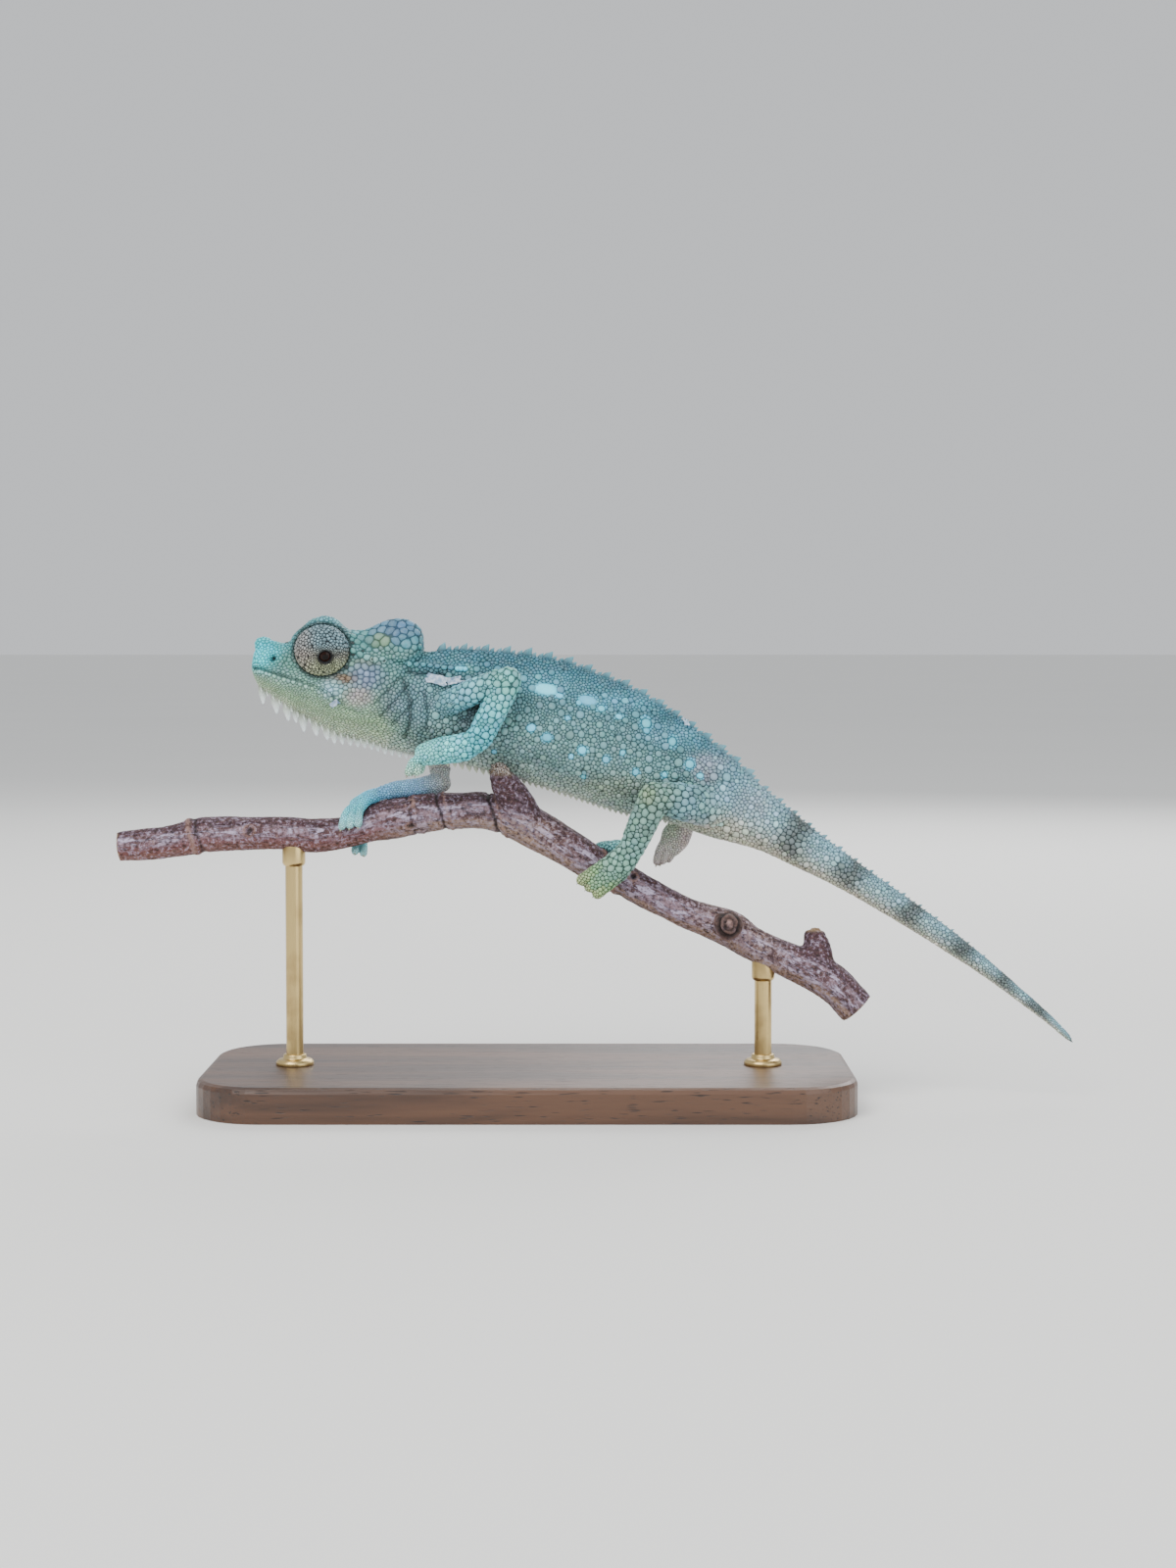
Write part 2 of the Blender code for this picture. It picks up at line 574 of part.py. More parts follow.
def casque():
    """The raised helmet behind the eyes."""
    rings = [trunk_ring(row) for row in spline(CASQUE, 2)]
    poles = [(x, 0.0, z) for x, z in (CASQUE_FRONT, CASQUE_REAR)]
    return loft("casque", rings, poles)


def mirrored(place, side):
    """A place given for the right side, on the side asked for."""
    return Vector((place[0], side * place[1], place[2]))


def eye(name, side):
    """An eye turret with the small opening that its pupil looks through."""
    centre = mirrored(EYE_CENTRE, side)
    made = ball(name, centre, EYE_SIZE)
    way = mirrored(GAZE, side).normalized()
    outer = centre + Vector([w * s for w, s in zip(way, EYE_SIZE)])
    combine(made, [ball("pupil", outer, PUPIL_SIZE, segments=12)], "DIFFERENCE")
    finish(made, name, EYE_PAINT)


def mouth_line(side):
    """A thin tube along the line of the mouth on one side of the head."""
    points = [trunk_point(station(k), depth, side) for k, depth in enumerate(MOUTH_DEPTHS)]
    return sweep("mouth", [(*p, MOUTH_WIDTH) for p in points], 6, steps=2)


def head():
    """The head with its casque, orbits, snout knob, mouth line, nostrils and throat scales."""
    made = trunk_length("head", 0, NECK_START)
    knob = ball("knob", (SNOUT_KNOB[0], 0.0, SNOUT_KNOB[1]), SNOUT_KNOB_SIZE, segments=12)
    throat = ventral(0.6, NECK_START, GULAR_SCALE, (2.3, 1.25), (1.0, 0.5))
    orbits = [ball("orbit", mirrored(ORBIT_CENTRE, side), ORBIT_SIZE) for side in (LEFT, RIGHT)]
    combine(made, [casque(), *orbits, knob, *throat], "UNION")
    sockets = [ball("socket", mirrored(EYE_CENTRE, side), EYE_SIZE, GAP) for side in (LEFT, RIGHT)]
    combine(made, sockets, "DIFFERENCE")
    place = station(NOSTRIL[0])
    nostrils = [
        ball("nostril", trunk_point(place, NOSTRIL[1], side), NOSTRIL_SIZE, segments=8) for side in (LEFT, RIGHT)
    ]
    combine(made, [mouth_line(LEFT), mouth_line(RIGHT), *nostrils], "DIFFERENCE")
    finish(made, "head", HEAD_PAINT)


def neck_and_torso():
    """The neck and the torso with the crests of the back and the belly."""
    neck = trunk_length("neck", NECK_START, TORSO_START)
    under = ventral(NECK_START, TORSO_START, GULAR_SCALE, (1.3, 1.3), (0.5, 0.42))
    combine(neck, under + dorsal(NECK_START, TORSO_START, (1.1, 1.1), (0.6, 0.8)), "UNION")
    finish(neck, "neck", HEAD_PAINT)

    torso = trunk_length("torso", TORSO_START, TAIL_START)
    chest = ventral(TORSO_START, TORSO_START + 2.4, VENTRAL_SCALE, (1.25, 1.15), (1.3, 1.0))
    belly = ventral(TORSO_START + 2.6, TORSO_START + 7.2, VENTRAL_SCALE, (1.15, 1.05), (0.75, 0.6))
    back = dorsal(TORSO_START, TAIL_START, (1.22, 0.95), (1.0, 0.75))
    combine(torso, chest + belly + back, "UNION")
    finish(torso, "torso", BODY_PAINT)


def tail():
    """The tail in three lengths, with the crest fading along the first two."""
    base = trunk_length("tail_base", TAIL_START, TAIL_MIDDLE_START)
    combine(base, dorsal(TAIL_START, TAIL_MIDDLE_START, (1.1, 1.1), (0.6, 0.45)), "UNION")
    finish(base, "tail_base", TAIL_PAINT)
    middle = trunk_length("tail_middle", TAIL_MIDDLE_START, TAIL_TIP_START)
    combine(middle, dorsal(TAIL_MIDDLE_START, TAIL_TIP_START, (1.2, 1.3), (0.42, 0.28)), "UNION")
    finish(middle, "tail_middle", TAIL_PAINT)
    finish(trunk_length("tail_tip", TAIL_TIP_START, TAIL_END), "tail_tip", TAIL_PAINT)


# The perch and the stand


def branch(grow=0.0):
    """The cut branch with its snag, knot and spur."""
    made = sweep("branch", BRANCH, BRANCH_SIDES, steps=1, grow=grow, flat=True)
    upright, sideways = (0.0, 1.0, 0.0), (1.0, 0.0, 0.0)
    knobs = [
        sweep("snag", SNAG, 10, upright, steps=1, grow=grow),
        sweep("knot", KNOT, 12, sideways, steps=1, grow=grow),
        sweep("spur", SPUR, 10, upright, steps=1, grow=grow),
    ]
    combine(made, knobs, "UNION")
    return made


def stand_base():
    """The flat plate with rounded corners and a softened upper edge."""
    length, width, thick = BASE_SIZE
    bm = bmesh.new()
    bmesh.ops.create_cube(bm, size=1.0)
    bmesh.ops.scale(bm, verts=bm.verts, vec=BASE_SIZE)
    bmesh.ops.translate(bm, verts=bm.verts, vec=(BASE_MIDDLE, 0.0, thick / 2.0))
    upright = [e for e in bm.edges if abs(e.verts[0].co.z - e.verts[1].co.z) > thick / 2.0]
    bmesh.ops.bevel(bm, geom=upright, offset=BASE_CORNER, segments=8, profile=0.5, affect="EDGES", material=-1)
    rim = [e for e in bm.edges if min(v.co.z for v in e.verts) > thick * 0.9]
    bmesh.ops.bevel(bm, geom=rim, offset=BASE_BEVEL, segments=2, profile=0.5, affect="EDGES", material=-1)
    finish(new_object("stand_base", bm), "stand_base", BASE_PAINT)


def stand_rods():
    """Two upright rods that end just under the branch."""
    foot = BASE_SIZE[2] + GAP
    height = ROD_TOP - foot
    for name, x in ROD_X.items():
        bm = bmesh.new()
        bmesh.ops.create_cone(
            bm, cap_ends=True, segments=20, radius1=ROD_RADIUS, radius2=ROD_RADIUS, depth=height
        )
        bmesh.ops.translate(bm, verts=bm.verts, vec=(x, 0.0, foot + height / 2.0))
        rod = new_object(name, bm)
        combine(rod, [branch(GAP)], "DIFFERENCE", rank=lowness)
        finish(rod, name, ROD_PAINT, metallic=1.0)


def main():
    for old in list(bpy.data.objects):
        bpy.data.objects.remove(old)
    head()
    eye("eye_left", LEFT)
    eye("eye_right", RIGHT)
    neck_and_torso()
    tail()
    limb("arm_left", ARM_LEFT, ("upper_arm_left", "forearm_left", "hand_left"), ARM_PAINT)
    limb("arm_right", ARM_RIGHT, ("upper_arm_right", "forearm_right", "hand_right"), ARM_PAINT)
    limb("leg_left", LEG_LEFT, ("thigh_left", "shin_left", "foot_left"), LEG_PAINT)
    limb("leg_right", LEG_RIGHT, ("thigh_right", "shin_right", "foot_right"), LEG_PAINT)
    perch = branch()
    combine(perch, [grown_trunk()], "DIFFERENCE")
    finish(perch, "perch", BARK_PAINT)
    stand_base()
    stand_rods()


main()
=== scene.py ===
import math

import bmesh
import bpy
import numpy as np
from mathutils import Matrix, Vector, noise
from mathutils.bvhtree import BVHTree
from mathutils.kdtree import KDTree


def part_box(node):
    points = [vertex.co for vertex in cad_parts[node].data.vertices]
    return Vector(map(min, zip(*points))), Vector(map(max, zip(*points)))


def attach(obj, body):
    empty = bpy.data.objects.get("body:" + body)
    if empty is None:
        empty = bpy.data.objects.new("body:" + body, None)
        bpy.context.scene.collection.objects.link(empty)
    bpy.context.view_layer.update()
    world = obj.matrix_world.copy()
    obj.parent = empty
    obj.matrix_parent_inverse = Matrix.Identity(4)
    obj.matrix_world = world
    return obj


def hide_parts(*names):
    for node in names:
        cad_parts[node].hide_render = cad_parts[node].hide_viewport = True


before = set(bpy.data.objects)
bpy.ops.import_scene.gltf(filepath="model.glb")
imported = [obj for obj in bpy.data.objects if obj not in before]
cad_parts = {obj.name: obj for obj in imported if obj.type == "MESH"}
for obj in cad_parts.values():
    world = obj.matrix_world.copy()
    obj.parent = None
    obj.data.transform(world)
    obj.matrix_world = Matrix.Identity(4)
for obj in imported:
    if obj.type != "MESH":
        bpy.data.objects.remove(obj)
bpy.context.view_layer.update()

# The base
# The display stand's flat plate is a dark stained hardwood with rounded corners, sawn, sanded and
# rubbed with a satin varnish that lets the long grain and its pores show.

WOOD_DARK = (0.03, 0.013, 0.008)
WOOD_LIGHT = (0.12, 0.055, 0.028)
WOOD_PORES = (0.004, 0.003, 0.003)
WOOD_ROUGHNESS = 0.36


class Value:
    """A number, vector or colour inside a material. Sums on numbers add Math nodes."""

    def __init__(self, finish, socket):
        self.finish = finish
        self.socket = socket

    def sum(self, operation, *terms):
        return self.finish.add("Math", {"operation": operation}, dict(enumerate(terms)))

    def __add__(self, other):
        return self.sum("ADD", self, other)

    def __radd__(self, other):
        return self.sum("ADD", other, self)

    def __sub__(self, other):
        return self.sum("SUBTRACT", self, other)

    def __rsub__(self, other):
        return self.sum("SUBTRACT", other, self)

    def __mul__(self, other):
        return self.sum("MULTIPLY", self, other)

    def __rmul__(self, other):
        return self.sum("MULTIPLY", other, self)

    def within(self, low, high):
        """0 below low and 1 above high, with a soft step between."""
        settings = {"interpolation_type": "SMOOTHSTEP"}
        return self.finish.add("MapRange", settings, {"Value": self, "From Min": low, "From Max": high})


class Finish:
    """A material under way: a Principled shader and the nodes that feed it."""

    def __init__(self, name, constants):
        self.material = bpy.data.materials.new(name)
        self.material.use_nodes = True
        self.tree = self.material.node_tree
        self.shader = self.tree.nodes["Principled BSDF"]
        for socket, number in constants.items():
            self.shader.inputs[socket].default_value = number

    def feed(self, socket, value):
        if isinstance(value, Value):
            self.tree.links.new(value.socket, socket)
        elif isinstance(value, tuple) and len(value) < len(socket.default_value):
            socket.default_value = (*value, 1.0)
        else:
            socket.default_value = value

    def add(self, kind, settings, sockets, output=0):
        """Adds a node of a kind, sets it up, feeds its sockets and gives one of its outputs."""
        node = self.tree.nodes.new("ShaderNode" + kind)
        for key, value in settings.items():
            setattr(node, key, value)
        for key, value in sockets.items():
            self.feed(node.inputs[key], value)
        return Value(self, node.outputs[output])

    def blend(self, mask, first, second, kind="MIX"):
        """A colour that goes from first to second as the mask goes from 0 to 1."""
        settings = {"data_type": "RGBA", "blend_type": kind}
        return self.add("Mix", settings, {0: mask, 6: first, 7: second}, output=2)

    def scaled(self, vector, scale):
        return self.add("VectorMath", {"operation": "MULTIPLY"}, {0: vector, 1: scale})

    def cloud(self, vector, scale, detail=3.0, roughness=0.55, warp=0.0):
        """Noise from 0 to 1 at a scale per unit of the vector."""
        sockets = {"Vector": vector, "Scale": scale, "Detail": detail}
        return self.add("TexNoise", {}, {**sockets, "Roughness": roughness, "Distortion": warp})

    def place(self):
        return self.add("TexCoord", {}, {}, output="Object")

    def parts(self, name):
        """The three masks that a mesh keeps in one colour."""
        kept = self.add("Attribute", {"attribute_name": name}, {})
        split = self.add("SeparateColor", {}, {0: kept})
        return [Value(self, socket) for socket in split.socket.node.outputs]

    def done(self, colour, height=None, depth=0.0, roughness=None):
        """Feeds the shader and gives the material. Depth is the height of the bump in metres."""
        self.feed(self.shader.inputs["Base Color"], colour)
        if roughness is not None:
            self.feed(self.shader.inputs["Roughness"], roughness)
        if height is not None:
            bump = self.add("Bump", {}, {"Height": height, "Distance": depth, "Strength": 1.0})
            self.feed(self.shader.inputs["Normal"], bump)
        return self.material


def stained_wood():
    made = Finish("stained wood", {"Coat Weight": 0.2, "Coat Roughness": 0.25})
    place = made.place()
    figure = made.cloud(made.scaled(place, (14.0, 150.0, 150.0)), 1.0, 4.0, 0.5, 0.6)
    fibres = made.cloud(made.scaled(place, (60.0, 1900.0, 1900.0)), 1.0, 2.0)
    pores = made.cloud(made.scaled(place, (260.0, 3200.0, 3200.0)), 1.0, 1.0).within(0.62, 0.72)
    shade = made.blend(figure.within(0.35, 0.65) * 0.7 + fibres * 0.3, WOOD_DARK, WOOD_LIGHT)
    shade = made.blend(pores * 0.8, shade, WOOD_PORES)
    return made.done(shade, fibres - pores, 0.00006, WOOD_ROUGHNESS + 0.12 * fibres)


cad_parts["stand_base"].data.materials[0] = stained_wood()

# The rods
# Two solid brass rods stand in the base, each with a turned collar at its foot and a plain sleeve
# where it enters the branch from below. They are brushed along their length and left unlacquered.

BRASS_LIGHT = (0.62, 0.46, 0.2)
BRASS_DARK = (0.34, 0.22, 0.09)
COLLAR_PROFILE = ((1.52, 0.0), (3.3, 0.0), (3.3, 0.55), (2.9, 1.0), (2.1, 1.15), (1.95, 1.9), (1.52, 1.9))
SLEEVE_PROFILE = ((1.52, 0.0), (1.8, 0.25), (2.0, 0.6), (2.0, 3.6), (1.52, 3.6))
SLEEVE_RISE = 0.9  # how far a sleeve passes the rod's top, into the branch
TURNED_STEPS = 64
TURNED_EDGE = 0.12  # size of the worn bevel on each corner of a profile
MM = 0.001


def brushed_brass():
    made = Finish("brushed brass", {"Metallic": 1.0})
    place = made.place()
    strokes = made.cloud(made.scaled(place, (2600.0, 2600.0, 60.0)), 1.0, 2.0)
    tarnish = made.cloud(place, 160.0, 4.0).within(0.45, 0.75)
    shade = made.blend(tarnish * 0.6, BRASS_LIGHT, BRASS_DARK)
    return made.done(shade, strokes, 0.000012, 0.22 + 0.16 * strokes + 0.12 * tarnish)


def finished(name, mesh, material):
    """A piece of the model in metres, with its material, which rides on the model."""
    made = bpy.data.objects.new(name, mesh)
    bpy.context.scene.collection.objects.link(made)
    mesh.materials.append(material)
    mesh.shade_smooth()
    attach(made, "root")
    return made


def sort_faces(shape):
    """Puts a shape's faces in an order that their places alone decide, so that it is the same each run."""
    places = {face: face.calc_center_median().to_tuple(4) for face in shape.faces}
    for k, face in enumerate(sorted(shape.faces, key=places.get)):
        face.index = k
    shape.faces.sort()


def turned(name, profile, x, low):
    """A mesh turned round an upright line at x, from radii and heights above low."""
    shape = bmesh.new()
    ring = [shape.verts.new((x + radius, 0.0, low + height)) for radius, height in profile]
    for k in range(len(ring)):
        shape.edges.new((ring[k - 1], ring[k]))
    bmesh.ops.bevel(
        shape, geom=ring, offset=TURNED_EDGE, segments=3, profile=0.5, affect="VERTICES", material=-1
    )
    bmesh.ops.spin(
        shape, geom=shape.verts[:] + shape.edges[:], cent=(x, 0.0, 0.0), axis=(0.0, 0.0, 1.0),
        angle=2.0 * math.pi, steps=TURNED_STEPS, use_merge=True,
    )
    bmesh.ops.remove_doubles(shape, verts=shape.verts, dist=0.001)
    bmesh.ops.recalc_face_normals(shape, faces=shape.faces)
    sort_faces(shape)
    bmesh.ops.scale(shape, verts=shape.verts, vec=(MM, MM, MM))
    mesh = bpy.data.meshes.new(name)
    shape.to_mesh(mesh)
    shape.free()
    return mesh


BRASS = brushed_brass()
BASE_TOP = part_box("stand_base")[1].z / MM
for place in ("front", "rear"):
    low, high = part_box(f"stand_rod_{place}")
    middle = (low.x + high.x) / 2 / MM
    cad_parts[f"stand_rod_{place}"].data.materials[0] = BRASS
    finished(f"rod_collar_{place}", turned("collar", COLLAR_PROFILE, middle, BASE_TOP), BRASS)
    sleeve_low = high.z / MM + SLEEVE_RISE - SLEEVE_PROFILE[-1][1]
    sleeve = turned("sleeve", SLEEVE_PROFILE, middle, sleeve_low)
    finished(f"rod_sleeve_{place}", sleeve, BRASS)

# The branch
# A cut length of a thin branch, about 7 mm thick, with a broken snag at its bend, a ringed knot, a
# short spur and sawn ends. Its purplish bark is ridged along the grain and shed in whitish flakes.

# Rows of x, y, z and radius along the branch, then along its snag, its knot and its spur.
BRANCH = (
    (-83.2, 0.0, 44.1, 2.7),
    (-74.0, 0.1, 45.0, 3.0),
    (-68.5, 0.2, 46.1, 3.2),
    (-61.0, 0.2, 46.4, 3.05),
    (-54.5, 0.1, 46.4, 3.0),
    (-48.5, 0.0, 46.0, 3.1),
    (-42.6, 0.0, 46.9, 2.8),
    (-38.4, 0.0, 48.3, 3.4),
    (-34.0, 0.0, 49.2, 3.6),
    (-28.2, 0.0, 50.1, 3.5),
    (-22.0, 0.0, 50.5, 3.2),
    (-18.0, 0.0, 50.1, 3.3),
    (-13.5, 0.0, 48.5, 3.7),
    (-8.6, 0.0, 45.9, 3.5),
    (-1.8, 0.0, 41.8, 3.2),
    (6.7, 0.0, 37.1, 2.9),
    (15.2, 0.0, 32.6, 2.75),
    (22.5, 0.0, 29.9, 3.3),
    (27.0, 0.0, 27.2, 3.0),
    (32.2, 0.0, 24.7, 3.2),
    (37.6, 0.0, 22.4, 3.5),
    (41.6, 0.0, 19.6, 3.4),
    (45.2, 0.0, 15.9, 3.3),
)
SNAG = (
    (-12.4, -0.4, 48.2, 3.6),
    (-14.2, -2.3, 52.2, 3.1),
    (-16.0, -4.2, 55.4, 2.6),
    (-16.9, -5.1, 57.5, 2.1),
)
KNOT = ((22.4, -1.5, 30.6, 2.6), (22.4, -3.2, 30.8, 2.5), (22.4, -4.0, 30.9, 2.1))
SPUR = ((38.2, 0.0, 23.5, 3.3), (38.2, 0.5, 26.4, 2.6), (37.8, 0.8, 28.2, 2.1))
BRANCH_LINE = (np.array(BRANCH)[:, 0], np.array(BRANCH)[:, 2])
BRANCH_VOXEL = 0.3
BARK_INSET = 0.1  # room for the ridges inside the solid's outline
GRAIN_STRETCH = 0.14
# Rings round the branch: x, height and half width.
BRANCH_RINGS = (
    (-70.3, 0.28, 0.5),
    (-32.3, -0.24, 0.24),
    (-27.2, -0.34, 0.26),
    (-18.1, -0.34, 0.28),
    (2.0, 0.2, 0.6),
)
KNOT_FACE = (22.6, 31.2)  # x and z of its middle
KNOT_SIZE = (1.95, 2.3)
# Rings of the knot, as shares of its size: radius, height and half width.
KNOT_RINGS = ((1.15, 0.3, 0.2), (0.86, -0.35, 0.1), (0.66, 0.16, 0.1), (0.46, -0.2, 0.07))
# The broken tops of the snag and the spur: x, half length, and the heights where the break starts and ends.
SNAG_TOP = (-17.0, 4.0, 56.4, 57.6)
SPUR_TOP = (38.6, 3.0, 29.0, 29.8)
SAWN_EDGE = (0.45, 0.15)
SCARS = ((-32.2, -3.3, 47.6), (-32.4, -2.2, 51.4), (6.2, -2.6, 39.3), (-60.2, -2.5, 47.0))
BARK_BROWN = (0.1, 0.052, 0.058)
BARK_RED = (0.13, 0.032, 0.03)
BARK_MAUVE = (0.25, 0.165, 0.2)
BARK_MAROON = (0.06, 0.022, 0.028)
BARK_PINK = (0.3, 0.175, 0.145)
BARK_BLOOM = (0.5, 0.42, 0.57)
BARK_BEIGE = (0.38, 0.27, 0.19)
BARK_DARK = (0.018, 0.012, 0.012)
BARK_RUST = (0.2, 0.08, 0.07)
END_WOOD = (0.42, 0.3, 0.17)
END_WOOD_RINGS = (0.2, 0.12, 0.06)
SNAG_DARK = (0.05, 0.032, 0.026)
SNAG_PALE = (0.6, 0.54, 0.5)
# How far out each ring of a domed end lies, and how wide it is, as shares of the radius.
DOMED_END = ((0.45, 0.9), (0.8, 0.6))


def spline(rows, steps):
    """Rows on a Catmull-Rom curve through the given rows, with that many for each stretch."""
    rows = np.array(rows, float)
    ends = np.vstack([2 * rows[0] - rows[1], rows, 2 * rows[-1] - rows[-2]])
    made = []
    for i in range(1, len(ends) - 2):
        a, b, c, d = ends[i - 1 : i + 3]
        for t in np.arange(steps) / steps:
            bend = (2 * a - 5 * b + 4 * c - d) * t**2 + (3 * b - a - 3 * c + d) * t**3
            made.append(0.5 * (2 * b + (c - a) * t + bend))
    return np.array(made + [rows[-1]])


def loft(shape, rings, poles=(None, None)):
    """Adds a closed form through rings of points, each end shut by a flat face or a fan to its pole."""
    loops = []
    for ring in rings:
        verts = [shape.verts.new(p) for p in ring]
        loops.append([shape.edges.new((verts[k - 1], verts[k])) for k in range(len(verts))])
    faces = []
    for low, high in zip(loops, loops[1:]):
        faces += bmesh.ops.bridge_loops(shape, edges=low + high)["faces"]
    for loop, pole in ((loops[0], poles[0]), (loops[-1], poles[1])):
        if pole is None:
            faces += bmesh.ops.contextual_create(shape, geom=loop)["faces"]
            continue
        tip = shape.verts.new(pole)
        faces += [shape.faces.new((*edge.verts, tip)) for edge in loop]
    bmesh.ops.recalc_face_normals(shape, faces=faces)


def courses(rows, steps):
    """The places, ways and radii of a tube's middle line."""
    rows = [tuple(r) if len(r) == 5 else (*r, r[3]) for r in rows]
    dense = spline(rows, steps)
    ways = np.gradient(dense[:, :3], axis=0)
    return dense[:, :3], ways / np.linalg.norm(ways, axis=1)[:, None], dense[:, 3:]


def tube(shape, rows, sides, across, steps, grow=0.0, flat=False):
    """Adds a tube along rows of x, y, z and one or two radii, with domed or flat ends."""
    places, ways, radii = courses(rows, steps)
    radii = radii + grow
    poles = (None, None)
    if not flat:
        ends = []
        poles = []
        for k, sign in ((0, -1.0), (-1, 1.0)):
            out = ways[k] * sign * radii[k].mean()
            ends.append([(places[k] + out * ahead, radii[k] * share) for ahead, share in DOMED_END])
            poles.append(places[k] + out)
        first, last = ends
        places = np.vstack([first[1][0], first[0][0], places, last[0][0], last[1][0]])
        radii = np.vstack([first[1][1], first[0][1], radii, last[0][1], last[1][1]])
        ways = np.vstack([ways[0], ways[0], ways, ways[-1], ways[-1]])
    rings = []
    angles = 2.0 * math.pi * np.arange(sides)[:, None] / sides
    for place, radius, way in zip(places, radii, ways):
        side = np.array(across) - way * np.dot(across, way)
        side /= np.linalg.norm(side)
        other = np.cross(way, side)
        rings.append(place + other * radius[0] * np.cos(angles) + side * radius[1] * np.sin(angles))
    loft(shape, rings, poles)


def fused(name, shape, voxel, rounds):
    """One closed mesh from overlapping forms, in small even faces, smoothed."""
    rough = bpy.data.objects.new(name, bpy.data.meshes.new(name))
    bpy.context.scene.collection.objects.link(rough)
    shape.to_mesh(rough.data)
    shape.free()
    step = rough.modifiers.new("fuse", "REMESH")
    step.mode = "VOXEL"
    step.voxel_size = voxel
    view = bpy.context.evaluated_depsgraph_get()
    made = bpy.data.meshes.new_from_object(rough.evaluated_get(view))
    bpy.data.objects.remove(rough)
    shape = bmesh.new()
    shape.from_mesh(made)
    for _ in range(rounds):
        bmesh.ops.smooth_vert(
            shape, verts=shape.verts, factor=0.5, use_axis_x=True, use_axis_y=True, use_axis_z=True
        )
    shape.to_mesh(made)
    shape.free()
    return made


def read(mesh, what="co"):
    """The places or normals of a mesh's vertices."""
    values = np.zeros(len(mesh.vertices) * 3)
    mesh.vertices.foreach_get(what, values)
    return values.reshape(-1, 3)


def move(mesh, points):
    """Puts a mesh's vertices at new places."""
    mesh.vertices.foreach_set("co", np.ascontiguousarray(points, np.float32).ravel())
    mesh.update()


def ramp(values, low, high):
    """0 below low and 1 above high, with a soft step between. Low may be the larger one."""
    share = np.clip((values - low) / (high - low), 0.0, 1.0)
    return share * share * (3.0 - 2.0 * share)


def bell(values, middle, width):
    """1 at the middle, falling softly to nothing a width or two to either side."""
    return np.exp(-(((values - middle) / width) ** 2))


def clouds(points, size, seed):
    """Smooth noise from about -1 to 1 at points, with lumps of a size."""
    return np.array([noise.noise(Vector(p) / size + Vector((seed, 2 * seed, 3 * seed))) for p in points])


def tree_of(points):
    """A tree that finds the nearest of the points."""
    tree = KDTree(len(points))
    for k, place in enumerate(points):
        tree.insert(place, k)
    tree.balance()
    return tree


def nearest(points, targets):
    """The index of the target nearest each point."""
    tree = tree_of(targets)
    return np.array([tree.find(p)[1] for p in points])


def lengths_along(line):
    """How far each point of a line is from its start, along the line."""
    return np.concatenate([[0.0], np.cumsum(np.linalg.norm(np.diff(line, axis=0), axis=1))])


def paint(mesh, name, colours):
    """Keeps a colour for each vertex under a name that a material reads."""
    layer = mesh.color_attributes.new(name, "FLOAT_COLOR", "POINT")
    full = np.ones((len(colours), 4), np.float32)
    full[:, :3] = colours
    layer.data.foreach_set("color", full.ravel())


def keep_vector(mesh, name, vectors):
    """Keeps a vector for each vertex under a name that a material reads."""
    layer = mesh.attributes.new(name, "FLOAT_VECTOR", "POINT")
    layer.data.foreach_set("vector", np.ascontiguousarray(vectors, np.float32).ravel())


def grain_of(points):
    """Places across, up and along the wood, and how far out they lie as a share of the radius."""
    places, ways, radii = courses(BRANCH, 24)
    near = nearest(points, places)
    out = points - places[near]
    along = (out * ways[near]).sum(1)
    out -= ways[near] * along[:, None]
    upper = np.cross(ways[near], (0.0, 1.0, 0.0))
    reach = np.linalg.norm(out, axis=1)
    grain = np.stack([out[:, 1], (out * upper).sum(1), lengths_along(places)[near] + along], 1)
    return grain, reach / radii[near, 0]


def broken_top(points, x, half_length, low, high):
    return ramp(points[:, 2], low, high) * (np.abs(points[:, 0] - x) < half_length)


